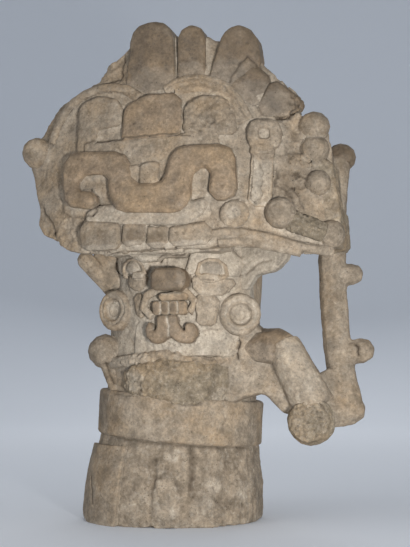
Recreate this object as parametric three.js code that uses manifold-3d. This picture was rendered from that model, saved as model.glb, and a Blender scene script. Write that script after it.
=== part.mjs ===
// Effigy urn of fired clay: a cylindrical vessel carrying a masked figure with a tall headdress.
// Millimetres, +Z up, the figure faces -Y and its left side is +X. The origin is under the foot.
// Every hand-formed lump, coil, slab and pellet of clay is a solid of its own. They are put on in the
// order in which a potter would lute them, and each is cut back to the seam of what it is pressed against.
import * as THREE from 'three';
import { mergeVertices } from 'three/addons/utils/BufferGeometryUtils.js';
import Module from 'manifold-3d';

const wasm = await Module();
wasm.setup();

// Seams between luted pieces
const SEAM = 0.3;
const ROOT = 1.5;
const ARC_STEP = 7;

// The vessel: a thick cylinder that leans a little to one side
const VESSEL_RADIUS = 63;
const VESSEL_WALL = 9;
const FLOOR_THICKNESS = 11;
const MOUTH_HEIGHT = 300;
const LIP_ROUND = 2.5;
const FOOT_SHIFT = -5;
const LEAN = 0.055;

// The foot: a fluted skirt, a lap of clay over it and a plain band above
const SKIRT_THICKNESS = 3;
const SKIRT_FLARE = 7.5;
const FLUTE_DEPTH = 2.2;
const FLUTE_WIDTH = 0.13;
const FLUTES = [-0.75, 0.01, 0.46, 0.95, 1.6, 2.4, 3.1, 3.9, 4.7];
const LAP_THICKNESS = 4;
const LAP_HEIGHT = 62;
const LAP_FROM = -1.22;
const LAP_TO = -0.36;
const LAP_WORN = 9;
const BAND_THICKNESS = 6;
const BAND_HEIGHT = 36;
const BAND_CENTRE = 84;
const BAND_TILT = -0.084;
const BAND_ROUND = 1.5;

// The head: an egg-shaped mass on the front of the vessel
const HEAD_Z = 200;
const HEAD_X = 10;
const HEAD_PROUD = 9;
const HEAD_EGG_HEIGHT = 190;
const HEAD_LEFT = -56;
const HEAD_RIGHT = 58;
const HEAD_CHIN = -67;
const HEAD_TOP = 28;
const CHIN_ROUND = 16;

// The headdress: a curved slab held off the vessel by a block of clay
const HEADDRESS_Z = 250;
const HEADDRESS_X = 8;
const BACKING_DEPTH = 15;
const SLAB_THICKNESS = 16;
const SLAB_BULGE = 78;
const SLAB_REACH = 152;
const SLAB_TIP = 0.15;

// The arm and the staff
const ARM_RADIUS = 15;
const ELBOW_RADIUS = 17;
const SHOULDER_RADIUS = 15.5;
const STUMP_RADIUS = 18;
const STAFF_RADIUS = 11;
const EAR_RADIUS = 16.5;
const EAR_HOLE = 8;
const EAR_THICKNESS = 12;

const clay = new THREE.MeshStandardMaterial({ color: '#b39f80', roughness: 0.93, metalness: 0 });
const burnished = new THREE.MeshStandardMaterial({ color: '#8f765a', roughness: 0.72, metalness: 0 });
const pale = new THREE.MeshStandardMaterial({ color: '#c3b59b', roughness: 0.97, metalness: 0 });
const broken = new THREE.MeshStandardMaterial({ color: '#8a7a66', roughness: 1, metalness: 0 });

const urn = new THREE.Group();
const vessel = new THREE.Group();
const head = new THREE.Group();
const headdress = new THREE.Group();
const limbs = new THREE.Group();
head.position.z = HEAD_Z;
headdress.position.z = HEADDRESS_Z;
urn.add(vessel, head, headdress, limbs);
urn.updateMatrixWorld(true);

// Solids from geometry and back

// A closed solid from a closed three.js geometry, whichever way its faces were wound.
function solidOf(geometry) {
  const bare = geometry.index ? geometry.toNonIndexed() : geometry.clone();
  const points = new THREE.BufferGeometry().setAttribute('position', bare.getAttribute('position'));
  const merged = mergeVertices(points, 1e-3);
  const corners = merged.index.array;
  const vertProperties = merged.getAttribute('position').array;
  const triVerts = [];
  for (let i = 0; i < corners.length; i += 3) {
    const [a, b, c] = [corners[i], corners[i + 1], corners[i + 2]];
    if (a !== b && b !== c && c !== a) triVerts.push(a, b, c);
  }
  const build = () => new wasm.Manifold(
    new wasm.Mesh({ numProp: 3, vertProperties, triVerts: new Uint32Array(triVerts) }));
  const solid = build();
  if (solid.volume() > 0) return solid;
  triVerts.reverse();
  return build();
}

function geometryOf(solid) {
  const mesh = solid.getMesh();
  const points = new Float32Array(mesh.numVert * 3);
  for (let i = 0; i < mesh.numVert; i += 1) {
    points.set(mesh.vertProperties.subarray(i * mesh.numProp, i * mesh.numProp + 3), i * 3);
  }
  const geometry = new THREE.BufferGeometry();
  geometry.setAttribute('position', new THREE.BufferAttribute(points, 3));
  geometry.setIndex(new THREE.BufferAttribute(mesh.triVerts, 1));
  geometry.computeVertexNormals();
  return geometry;
}

// Several lumps worked into one another, with no seam between them.
function worked(...geometries) {
  return geometryOf(geometries.map(solidOf).reduce((all, next) => all.add(next)));
}

// The crumbs that a cut leaves beside the piece are thrown away, as a potter does.
function largestBody(solid) {
  const bodies = solid.decompose();
  return bodies.reduce((best, body) => (body.volume() > best.volume() ? body : best), bodies[0]);
}

// Luting

const placed = [];

// Puts one lump of clay on. make(grow) gives its geometry in the frame of its own place, larger by grow
// on every side, and mask(grow), where given, what it hides from the pieces put on after it.
function lute(name, group, material, make, place = {}, mask = make) {
  const mesh = new THREE.Mesh(undefined, material);
  mesh.name = name;
  mesh.position.set(...(place.at ?? [0, 0, 0]));
  if (place.along) mesh.quaternion.setFromUnitVectors(new THREE.Vector3(0, 1, 0), place.along);
  group.add(mesh);
  mesh.updateWorldMatrix(true, false);
  const toWorld = mesh.matrixWorld;
  let body = solidOf(make(0).applyMatrix4(toWorld));
  if (!place.wrapped) {
    for (const neighbour of placed) body = body.subtract(neighbour);
    body = largestBody(body);
  }
  placed.push(solidOf(mask(SEAM).applyMatrix4(toWorld)));
  mesh.geometry = geometryOf(body).applyMatrix4(toWorld.clone().invert());
  return mesh;
}

// Outlines

function roundOutline(radius) {
  const shape = new THREE.Shape();
  shape.absarc(0, 0, radius, 0, 2 * Math.PI);
  return shape;
}

// A closed outline from corners [x, y, radius]. Where the edge is to be softened by soft, a corner
// that is rounded less than the softening can follow is left sharp.
function outline(corners, soft = 0) {
  const points = corners.map(([x, y]) => new THREE.Vector2(x, y));
  const turning = Math.sign(THREE.ShapeUtils.area(points));
  const edge = [];
  points.forEach((here, i) => {
    const before = points[(i + points.length - 1) % points.length].clone().sub(here);
    const after = points[(i + 1) % points.length].clone().sub(here);
    const room = 0.45 * Math.min(before.length(), after.length());
    before.normalize();
    after.normalize();
    const half = Math.acos(before.dot(after)) / 2;
    const bend = Math.sign(after.cross(before));
    const wanted = corners[i][2] ?? 0;
    const least = bend === turning ? soft * 1.15 : 0;
    const radius = Math.min(Math.max(wanted, least), room * Math.tan(half));
    if (wanted === 0 || radius < least) {
      edge.push(here);
      return;
    }
    const inward = before.clone().add(after).normalize();
    const centre = here.clone().addScaledVector(inward, radius / Math.sin(half));
    const back = Math.atan2(-inward.y, -inward.x);
    const sweep = bend * (Math.PI / 2 - half);
    const steps = Math.max(1, Math.round((2 * radius * Math.abs(sweep)) / ARC_STEP));
    for (let step = 0; step <= steps; step += 1) {
      const angle = back + sweep * ((2 * step) / steps - 1);
      const out = new THREE.Vector2(Math.cos(angle), Math.sin(angle));
      edge.push(centre.clone().add(out.multiplyScalar(radius)));
    }
  });
  return new THREE.Shape(edge);
}

// A pad of clay pressed from a shape: flat at the back, with its front edge softened.
// It lies in X and Y and stands up from the level -root to the level height.
function padOf(shape, height, soft, grow, root, fine = 1) {
  const geometry = new THREE.ExtrudeGeometry(shape, {
    depth: height + root - 2 * soft + 2 * grow,
    bevelThickness: soft,
    bevelSize: soft,
    bevelOffset: grow - soft,
    bevelSegments: fine,
    curveSegments: 7,
  });
  return geometry.translate(0, 0, soft - root - grow);
}

const pad = (corners, height, soft, grow, root, fine) => padOf(
  outline(corners, soft), height, soft, grow, root, fine);

// The two sides of a face that a line of equal X crosses.
function splitFace(corners, cut) {
  const sides = corners.map((p) => (Math.abs(p.x - cut) < 0.01 ? 0 : Math.sign(p.x - cut)));
  if (!sides.includes(1) || !sides.includes(-1)) return [corners];
  const halves = [[], []];
  corners.forEach((p, i) => {
    const next = (i + 1) % corners.length;
    if (sides[i] !== 1) halves[0].push(p);
    if (sides[i] !== -1) halves[1].push(p);
    if (sides[i] * sides[next] !== -1) return;
    const [low, high] = sides[i] < 0 ? [p, corners[next]] : [corners[next], p];
    const crossing = low.clone().lerp(high, (cut - low.x) / (high.x - low.x));
    halves.forEach((polygon) => polygon.push(crossing));
  });
  return halves.flatMap((polygon) => polygon.slice(2).map((p, i) => [polygon[0], polygon[i + 1], p]));
}

// Lays a flat relief on a curved front: its X stays, its Y becomes the height, its Z the depth forward.
// Its faces are first split into strips narrow enough to follow the curve.
function drape(geometry, front, strip) {
  const flat = geometry.index ? geometry.toNonIndexed() : geometry;
  const points = flat.getAttribute('position');
  const corner = (i) => new THREE.Vector3().fromBufferAttribute(points, i);
  let faces = [];
  for (let i = 0; i < points.count; i += 3) faces.push([corner(i), corner(i + 1), corner(i + 2)]);
  flat.computeBoundingBox();
  const { min, max } = flat.boundingBox;
  for (let cut = Math.ceil(min.x / strip) * strip; cut < max.x; cut += strip) {
    faces = faces.flatMap((face) => splitFace(face, cut));
  }
  const laid = faces.flat().map((p) => new THREE.Vector3(p.x, -(front(p.x, p.y) + p.z), p.y));
  return new THREE.BufferGeometry().setFromPoints(laid);
}

function move(geometry, change) {
  const points = geometry.getAttribute('position');
  const point = new THREE.Vector3();
  for (let i = 0; i < points.count; i += 1) {
    point.fromBufferAttribute(points, i);
    change(point);
    points.setXYZ(i, point.x, point.y, point.z);
  }
  return geometry;
}

// Stands a flat outline up as a plate between two depths forward of the axis.
function plate(corners, nearDepth, farDepth, grow = 0, soft = 1.5) {
  const geometry = new THREE.ExtrudeGeometry(outline(corners, soft), {
    depth: farDepth - nearDepth - 2 * soft + 2 * grow,
    bevelThickness: soft,
    bevelSize: soft,
    bevelOffset: grow - soft,
    bevelEnabled: soft > 0,
    bevelSegments: 1,
  });
  return geometry.translate(0, 0, nearDepth + soft - grow).rotateX(Math.PI / 2);
}

// A coil of clay rolled along a curve, round in section.
function coil(points, radius, grow = 0, steps = 10, sides = 8) {
  const path = new THREE.CatmullRomCurve3(points.map((p) => new THREE.Vector3(...p)));
  const section = new THREE.Shape();
  section.absarc(0, 0, radius + grow, 0, 2 * Math.PI);
  return new THREE.ExtrudeGeometry(section, { steps, curveSegments: sides / 2, extrudePath: path });
}

function lathe(profile, segments = 32) {
  return new THREE.LatheGeometry(profile.map((p) => new THREE.Vector2(...p)), segments);
}

// A lathed ring stands on Z when its profile is given as radius and height.
function standing(profile, segments) {
  return lathe(profile, segments).rotateX(Math.PI / 2);
}

// The vessel and its foot

const VESSEL_SIDES = 36;
const VESSEL_STRIP = 12;
const axisAt = (z) => FOOT_SHIFT + LEAN * z;

// A point beyond the wall, at an angle round the vessel from the front.
function roundVessel(angle, z, beyond) {
  const radius = VESSEL_RADIUS + beyond;
  return [axisAt(z) + radius * Math.sin(angle), -radius * Math.cos(angle), z];
}

function lean(geometry) {
  return move(geometry, (p) => {
    p.x += axisAt(p.z);
  });
}

const filledVessel = (grow) => lean(standing([
  [0, -grow],
  [VESSEL_RADIUS + grow, -grow],
  [VESSEL_RADIUS + grow, MOUTH_HEIGHT + grow],
  [0, MOUTH_HEIGHT + grow],
], VESSEL_SIDES));

lute('vessel_floor', vessel, clay, () => lean(standing([
  [0, 0],
  [VESSEL_RADIUS, 0],
  [VESSEL_RADIUS, FLOOR_THICKNESS],
  [0, FLOOR_THICKNESS],
], VESSEL_SIDES)));

lute('vessel_wall', vessel, clay, () => lean(standing([
  [VESSEL_RADIUS - VESSEL_WALL, FLOOR_THICKNESS + SEAM],
  [VESSEL_RADIUS, FLOOR_THICKNESS + SEAM],
  [VESSEL_RADIUS, MOUTH_HEIGHT - LIP_ROUND],
  [VESSEL_RADIUS - LIP_ROUND, MOUTH_HEIGHT],
  [VESSEL_RADIUS - VESSEL_WALL + LIP_ROUND, MOUTH_HEIGHT],
  [VESSEL_RADIUS - VESSEL_WALL, MOUTH_HEIGHT - LIP_ROUND],
  [VESSEL_RADIUS - VESSEL_WALL, FLOOR_THICKNESS + SEAM],
], VESSEL_SIDES)), {}, filledVessel);

// The band and the skirt are wrapped round the wall, so they are made to its radius and not cut by it.
// What they hide from later pieces reaches into the wall.
const wrapRadius = (grow) => VESSEL_RADIUS + (grow > 0 ? -ROOT : SEAM);

lute('base_band', vessel, clay, (grow) => {
  const inner = wrapRadius(grow);
  const outer = VESSEL_RADIUS + BAND_THICKNESS + grow;
  const half = BAND_HEIGHT / 2 + grow;
  const ring = standing([
    [inner, -half],
    [outer - BAND_ROUND, -half],
    [outer, -half + BAND_ROUND],
    [outer, half - BAND_ROUND],
    [outer - BAND_ROUND, half],
    [inner, half],
    [inner, -half],
  ], VESSEL_SIDES);
  return move(ring, (p) => {
    p.z += BAND_CENTRE + BAND_TILT * p.x;
    p.x += axisAt(p.z);
  });
}, { wrapped: true });

// How far the foot spreads beyond the vessel at a share of its height.
const spread = (share) => SKIRT_THICKNESS + SKIRT_FLARE * Math.cos(Math.min(share, 1) * Math.PI / 2) ** 0.7;
const skirtTop = (x) => BAND_CENTRE - BAND_HEIGHT / 2 - SEAM + BAND_TILT * x;

function fluted(angle) {
  const sink = (centre) => {
    const away = Math.atan2(Math.sin(angle - centre), Math.cos(angle - centre));
    return Math.exp(-((away / FLUTE_WIDTH) ** 2));
  };
  return -FLUTE_DEPTH * FLUTES.reduce((sum, centre) => sum + sink(centre), 0);
}

lute('pedestal_skirt', vessel, clay, (grow) => {
  const rows = 2;
  const inner = wrapRadius(grow);
  const profile = [[inner, 0], [VESSEL_RADIUS + spread(0) - 1.5 + grow, 0]];
  for (let i = 0; i <= rows; i += 1) {
    const share = i === 0 ? 0.03 : i / rows;
    profile.push([VESSEL_RADIUS + spread(share) + grow, share]);
  }
  profile.push([inner, 1], [inner, 0]);
  const sleeve = standing(profile, 1.5 * VESSEL_SIDES);
  return lean(move(sleeve, (p) => {
    const radius = Math.hypot(p.x, p.y);
    if (radius > VESSEL_RADIUS + 1) {
      const scale = (radius + fluted(Math.atan2(p.x, -p.y))) / radius;
      p.x *= scale;
      p.y *= scale;
    }
    p.z = p.z * (skirtTop(p.x) + 2 * grow) - grow;
  }));
}, { wrapped: true });

lute('pedestal_lap', vessel, clay, (grow) => {
  const inner = VESSEL_RADIUS + ROOT;
  const outer = VESSEL_RADIUS + SKIRT_THICKNESS + LAP_THICKNESS + grow;
  const sector = new THREE.Shape();
  sector.absarc(0, 0, outer, LAP_FROM - Math.PI / 2, LAP_TO - Math.PI / 2, false);
  sector.absarc(0, 0, inner, LAP_TO - Math.PI / 2, LAP_FROM - Math.PI / 2, true);
  const strip = new THREE.ExtrudeGeometry(sector, {
    depth: LAP_HEIGHT, steps: 3, bevelEnabled: false, curveSegments: 12,
  });
  return lean(move(strip, (p) => {
    const fromEnd = Math.atan2(p.x, -p.y) - LAP_FROM;
    if (p.z === 0) p.z = LAP_WORN * Math.max(1 - fromEnd / 0.3, 0) ** 2;
    const radius = Math.hypot(p.x, p.y);
    const edge = radius > VESSEL_RADIUS + SKIRT_THICKNESS ? spread(p.z / skirtTop(0)) - SKIRT_THICKNESS : 0;
    const scale = (radius + edge) / radius;
    p.x *= scale;
    p.y *= scale;
  }));
});

const vesselFront = (x, z) => {
  const side = (x - axisAt(z)) / VESSEL_RADIUS;
  return VESSEL_RADIUS * Math.sqrt(Math.max(1 - side * side, 0.1));
};

lute('chest_scar', vessel, broken, (grow) => drape(pad([
  [-30, 107, 5], [-18, 100, 6], [2, 97, 8], [18, 92.5, 6], [38, 93, 6], [50, 99, 6],
  [56, 112, 6], [50, 128, 6], [6, 131, 8], [-28, 124, 6],
], 7.5, 2.5, grow, 2.5 + ROOT), vesselFront, VESSEL_STRIP));

lute('shoulder_roll', vessel, clay, (grow) => {
  const stations = [
    [-1.0, 127], [-0.62, 128.5], [-0.25, 131], [0.06, 134],
    [0.36, 130], [0.62, 126.5], [0.9, 130], [1.12, 137],
  ];
  return coil(stations.map(([angle, z]) => roundVessel(angle, z, 1.5)), 4.8, grow, 14, 8);
});

// The head and its features

const headFront = (x, up) => {
  const radius = VESSEL_RADIUS + 1;
  const side = (x - HEAD_X) / radius;
  const tall = up / HEAD_EGG_HEIGHT;
  return HEAD_PROUD - 1 + radius * Math.sqrt(Math.max(1 - side * side - tall * tall, 0.02));
};

const FEATURE_ROOT = 4;
const HEAD_STRIP = 13;

function feature(name, material, corners, height, soft) {
  lute(name, head, material, (grow) => drape(
    pad(corners, height, soft, grow, soft + FEATURE_ROOT), headFront, HEAD_STRIP));
}

lute('head_block', head, pale, (grow) => {
  const radius = VESSEL_RADIUS + 1 + grow;
  const egg = solidOf(new THREE.SphereGeometry(1, 28, 12)
    .scale(radius, radius, HEAD_EGG_HEIGHT + grow)
    .translate(HEAD_X, -(HEAD_PROUD - 1), 0));
  const mass = solidOf(plate([
    [HEAD_X + HEAD_LEFT, HEAD_TOP, 4],
    [HEAD_X + HEAD_LEFT, HEAD_CHIN, CHIN_ROUND],
    [HEAD_X + HEAD_RIGHT, HEAD_CHIN, CHIN_ROUND],
    [HEAD_X + HEAD_RIGHT, HEAD_TOP, 4],
  ], 10, VESSEL_RADIUS + 30, grow));
  return geometryOf(egg.intersect(mass));
});

function faceCoil(points, radius, grow) {
  const path = points.map(([x, up]) => [x, -(headFront(x, up) + radius * 0.5 + 3), up]);
  return coil(path, radius, grow, 7, 6);
}

const MOUTH_PATH = [
  [-1, -37], [-7, -32.5], [-9.6, -25], [-1.5, -17.5], [13, -13.5], [25.5, -16.6],
  [33.2, -25.3], [32.8, -30.5], [29.3, -34],
];
lute('mouth_frame', head, clay, (grow) => faceCoil(MOUTH_PATH, 3.2, grow));

feature('nose_block', burnished,
  [[2.5, 0, 4], [28, 0, 4], [30, -8, 6], [28.5, -17, 4], [2.5, -17, 3]], 19, 2);
feature('upper_lip', burnished,
  [[5.5, -18.6, 2], [29.5, -18.6, 2], [30, -24, 2.5], [6, -24.5, 2]], 9, 1.2);

// The teeth are one strip, cut into four; the tongue is one strip, split into two curls
const TOOTH_COUNT = 4;
const TOOTH_WIDTH = 6.9;
const TOOTH_LEFT = 0;

const tooth = [];
for (let i = TOOTH_COUNT; i > 0; i -= 1) {
  const right = TOOTH_LEFT + i * TOOTH_WIDTH;
  const left = right - TOOTH_WIDTH;
  tooth.push([right - 0.5, -35.5, 1.6], [left + 0.5, -35.5, 1.6]);
  if (i > 1) tooth.push([left, -33]);
}
feature('tooth_row', burnished, [
  [TOOTH_LEFT, -25, 1], [TOOTH_LEFT + TOOTH_COUNT * TOOTH_WIDTH, -25, 1], ...tooth,
], 8, 1.2);

const TONGUE_SPLIT = 14;
feature('tongue', burnished, [
  [4, -36, 1], [20.2, -36, 1], [20.8, -43, 2], [27, -51.5, 1.2], [26, -43.4, 1.5], [30, -40.8, 3],
  [35, -46, 4], [34.4, -55, 6], [24.5, -59.5, 7], [TONGUE_SPLIT, -52, 1.5], [5, -58.5, 6], [-4.8, -56, 6],
  [-6.6, -46, 4], [-3.4, -41, 2.5], [-0.2, -43, 1.5], [0.5, -50.5, 1.2], [3.8, -45, 1.5],
], 9, 1.6);

feature('upper_eye_plate_left', clay,
  [[-4, -1, 2], [-6, 16, 6], [-28, 21, 5], [-40, 14, 5], [-35, -1, 3]], 4.5, 1.5);
feature('upper_eye_plate_right', clay,
  [[26, -3, 2], [30, 15, 5], [44, 22.5, 8], [57, 18, 6], [66, 8, 6], [63, -4.5, 2]], 4.5, 1.5);
feature('lower_eye_plate_left', clay, [[-5, -3, 2], [-8, -16, 6], [-22, -15, 6], [-28, -3, 3]], 4, 1.5);
feature('lower_eye_plate_right', clay, [[30, -5, 2], [31.5, -18, 5], [42, -20.5, 8], [54, -19.5, 7], [62, -7, 2]], 4, 1.5);

// Each eye: a pellet under an arched lid
const EYES = [
  {
    side: 'left',
    pellet: [[-24, -3, 4], [-14, 1, 5], [-5, -5, 4], [-14, -9, 5]],
    lid: [[-27, -5], [-29, 5], [-20, 10], [-11, 6], [-7, -3]],
  },
  {
    side: 'right',
    pellet: [[32.5, -6.5, 2], [43, -2, 6], [56, -6, 2], [44, -11, 6]],
    lid: [[40, -7], [35.3, -5.5], [36, 4], [44, 8], [53, 5], [55, -5], [50, -7]],
  },
];
for (const { side, pellet, lid } of EYES) {
  lute(`eye_${side}`, head, clay, (grow) => worked(
    drape(pad(pellet, 6.5, 1.2, grow, 1.2 + FEATURE_ROOT), headFront, HEAD_STRIP),
    faceCoil(lid, 2.1, grow),
  ));
}

feature('cheek_plate_left', clay, [[-20, -17, 3], [-10, -18, 3], [-10, -40, 3], [-17, -34, 5]], 3.5, 1.5);
feature('cheek_plate_right', clay,
  [[33, -19.5, 2], [50, -21.5, 3], [48.5, -34, 6], [46, -44, 3], [32.5, -43.5, 3], [33.8, -36, 3]], 3.5, 1.5);

// Ear discs with a sunk centre, turned a little outwards and proud enough to clear the cheeks

const EAR_PROUD = 4;
const EARS = [
  { side: 'left', x: -40.5, up: -29.5, turn: -0.4 },
  { side: 'right', x: 65.5, up: -34.5, turn: 0.4 },
];
for (const ear of EARS) {
  const facing = new THREE.Vector3(Math.sin(ear.turn), -Math.cos(ear.turn), 0);
  const depth = headFront(ear.x - Math.sign(ear.turn) * EAR_HOLE, ear.up) + EAR_PROUD;
  lute(`ear_disc_${ear.side}`, head, clay, (grow) => lathe([
    [0, -EAR_THICKNESS],
    [EAR_RADIUS + grow, -EAR_THICKNESS],
    [EAR_RADIUS + grow, -2.2],
    [EAR_RADIUS - 1.8, grow],
    [EAR_HOLE + 1.6, grow],
    [EAR_HOLE, -4],
    [EAR_HOLE - 1.4, -4.2],
    [EAR_HOLE - 2.6, -3],
    [EAR_HOLE - 4, -4.6],
    [0, -5],
  ], 16), { at: [ear.x, -depth, ear.up], along: facing });
}

// The slab of the headdress, and the block that holds it off the vessel and runs out in a sheet over the brow

const slabFront = (x, up) => {
  const middle = VESSEL_RADIUS + BACKING_DEPTH + SLAB_THICKNESS;
  const side = Math.min(Math.abs(x - HEADDRESS_X) / SLAB_REACH, 0.99);
  return middle - SLAB_BULGE * (1 - Math.sqrt(1 - side * side)) - SLAB_TIP * up;
};

// The body of the slab between two depths behind its front face, over its whole reach.
function slabBody(nearBehind, farBehind, low, high) {
  const across = new THREE.Shape();
  const count = 18;
  const half = SLAB_REACH * 0.9;
  const xAt = (i) => HEADDRESS_X - half + (2 * half * i) / count;
  for (let i = 0; i <= count; i += 1) {
    const point = [xAt(i), slabFront(xAt(i), 0) - nearBehind];
    if (i === 0) across.moveTo(...point);
    else across.lineTo(...point);
  }
  for (let i = count; i >= 0; i -= 1) across.lineTo(xAt(i), slabFront(xAt(i), 0) - farBehind);
  const body = new THREE.ExtrudeGeometry(across, { depth: high - low, bevelEnabled: false });
  return move(body, (p) => {
    const up = high - p.z;
    p.z = up;
    p.y = -(p.y - SLAB_TIP * up);
  });
}

const SLAB_OUTLINE = [
  [-114, 40, 10], [-108, 60, 10], [-99, 76, 8], [-86, 92, 10], [-64, 98, 6], [-48, 107, 3], [-42, 118.5, 3],
  [-29, 126, 3], [-20, 135, 5], [-8, 137, 8], [30, 137, 10], [58, 131, 10], [76, 118, 8], [92, 106, 10],
  [112, 86, 6], [110, 72, 3], [131, 66, 10], [138, 40, 10], [141, 0, 10], [143, -36, 6],
  [117, -39, 8], [72, -33, 10], [54, -35, 8], [-56, -36, 8], [-68, -33, 3], [-77, -25, 3], [-93, -19, 4],
  [-101, -9, 4], [-100, 2, 4], [-107, 20, 8],
];

lute('headdress_slab', headdress, clay, (grow) => {
  const sheet = solidOf(slabBody(-grow, SLAB_THICKNESS + grow, -60, 160));
  const trim = solidOf(plate(SLAB_OUTLINE, 0, 160, grow, 0));
  return geometryOf(sheet.intersect(trim));
});

lute('headdress_backing', headdress, clay, (grow) => {
  const fill = solidOf(slabBody(SLAB_THICKNESS + SEAM - grow, 80, -60, 80));
  const trim = solidOf(plate([
    [-44, 38, 18], [58, 38, 18], [62, -37, 8], [-46, -37, 8],
  ], 12, 160, grow, 0));
  const browSheet = solidOf(plate([
    [-20, -28], [-20, -37, 3], [-8, -43.5, 3], [4, -42.5, 2], [8.5, -40, 1], [27, -40.5, 2],
    [30, -35.5, 2], [46, -33, 3], [46, -28],
  ], 50, 78, grow));
  return geometryOf(fill.intersect(trim).add(browSheet));
});

// Reliefs on the headdress: pads are laid on the slab's front, each with its root in the clay

const SLAB_STRIP = 27;

function relief(name, material, corners, height, soft, root = soft + ROOT, fine = 1) {
  lute(name, headdress, material, (grow) => drape(
    pad(corners, height, soft, grow, root, fine), slabFront, SLAB_STRIP));
}

// The nose band: a bar that rises at both ends and turns over into a hook
relief('volute_band', burnished, [
  [-39, -3, 5], [-70, 2, 8], [-76.5, 47, 13], [-15, 42, 13], [-10, 16, 7], [16, 14, 8],
  [22, 44, 13], [69, 44, 11], [73, 0, 9], [51, 0, 6], [53, 25, 5], [39, 27, 7],
  [36, -10, 13], [-24, -7, 13], [-32, 25, 6], [-58, 26, 5], [-57, 13, 3], [-41, 10.5, 5],
], 12, 3.2);

relief('forehead_panel_1', clay, [
  [-64, 43, 1.5], [-64, 88, 8], [-44, 93, 12], [-23.5, 86, 8], [-24, 66, 3], [-46, 64, 2], [-48, 43, 1.5],
], 6, 1.6);
lute('brow_bar', headdress, clay, (grow) => {
  const tab = (corners, height) => drape(pad(corners, height, 1, grow, 1 + ROOT), slabFront, SLAB_STRIP);
  const bar = drape(pad([
    [-86, 48, 2], [-66, 52, 4], [54, 56, 2], [60, 40, 3], [58, 8, 3], [-62, 8, 3], [-80, 28, 3],
  ], 4.6, 1.4, grow, 1.4 + ROOT), slabFront, SLAB_STRIP);
  return worked(
    bar,
    tab([[-14, 16, 1], [-13, 30, 1.5], [-5, 31, 1.5], [-5, 15, 1]], 8),
    tab([[-3.5, 14.5, 1], [-3.5, 31, 2], [11, 32, 2], [12, 14.5, 1]], 9),
  );
});
relief('forehead_panel_2', clay, [
  [-22.5, 52.5, 2], [-22.5, 80, 10], [-4, 90, 14], [25, 89, 6], [28, 64, 4], [25, 54.5, 3],
], 6.5, 2);
relief('forehead_panel_3', clay, [
  [28.5, 55.5, 2], [29, 79, 5], [42, 86, 8], [60, 85, 8], [69, 68, 6], [70, 53, 3],
], 6.5, 2);
relief('lip_ledge', clay, [
  [-52, -6, 4], [-47, -15, 5], [33, -18.5, 6], [48, -9, 6], [52, 4, 4], [40, 0, 3], [-40, 0, 3],
], 6, 2);

const FANGS = [
  { corners: [[-55, -20, 6], [-50, -12, 4], [-19, -15.5, 3], [-18, -36, 4], [-50, -36, 6]], height: 8 },
  { corners: [[-17.4, -16, 2], [2.2, -17.5, 2], [2.2, -33, 4], [-17.4, -34, 4]], height: 4.6 },
  { corners: [[2.9, -18, 2], [20.6, -19.5, 2], [20.6, -36, 4], [2.9, -36, 4]], height: 4 },
  { corners: [[21.3, -20, 2], [53, -16, 5], [55, -34, 5], [21.3, -35.5, 4]], height: 5.2 },
];
FANGS.forEach(({ corners, height }, i) => relief(`fang_${i + 1}`, burnished, corners, height, 1.7));

// The square boss with its sunk centre and the tab under it, and the round boss
const BOSS = { x: 91, up: 52.5, half: 12.2, height: 9, sink: 4.6, depth: 4 };
lute('square_boss', headdress, clay, (grow) => {
  const square = (half, cut) => [[-1, -1], [-1, 1], [1, 1], [1, -1]]
    .map(([x, up]) => [BOSS.x + x * half, BOSS.up + up * half, cut]);
  const onSlab = (flat) => drape(flat, slabFront, SLAB_STRIP);
  const body = onSlab(pad(square(BOSS.half, 8), BOSS.height, 2.4, grow, 2.4 + ROOT));
  const below = [[82, 44, 2], [98, 44, 2], [97, -5, 4], [80, -5, 5]];
  const tab = onSlab(pad(below, 6.5, 1.8, grow, 1.8 + ROOT));
  const well = onSlab(pad(square(BOSS.sink - grow, 1.5), BOSS.height + 5, 0.5, 0, BOSS.depth - BOSS.height));
  return geometryOf(solidOf(worked(body, tab)).subtract(solidOf(well)));
});

function discOnSlab(x, up, radius, height, soft) {
  return (grow) => drape(padOf(roundOutline(radius), height, soft, grow, soft + ROOT)
    .translate(x, up, 0), slabFront, SLAB_STRIP);
}
lute('round_boss', headdress, clay, discOnSlab(70, -10.5, 11, 4.8, 2.2));

// Two brow coils on one side and one broad coil on the other
function slabCoil(points, radius, proud, grow, steps = 8) {
  return coil(points.map(([x, up]) => [x, -(slabFront(x, up) + proud), up]), radius, grow, steps, 6);
}
lute('brow_coil_left', headdress, clay, (grow) => slabCoil(
  [[-90, 58], [-84, 74], [-76, 87], [-60, 96], [-41, 99], [-22, 96], [-10, 88]], 4.6, 1.5, grow));
lute('brow_coils_right', headdress, clay, (grow) => worked(
  slabCoil([[11, 92], [22, 98.5], [40, 100], [58, 94.5], [70, 81], [78, 65]], 4.2, 1.2, grow),
  slabCoil([[20, 90.5], [40, 92.5], [54, 88], [64, 76], [71.5, 61]], 3.9, 0.8, grow),
));

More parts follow.
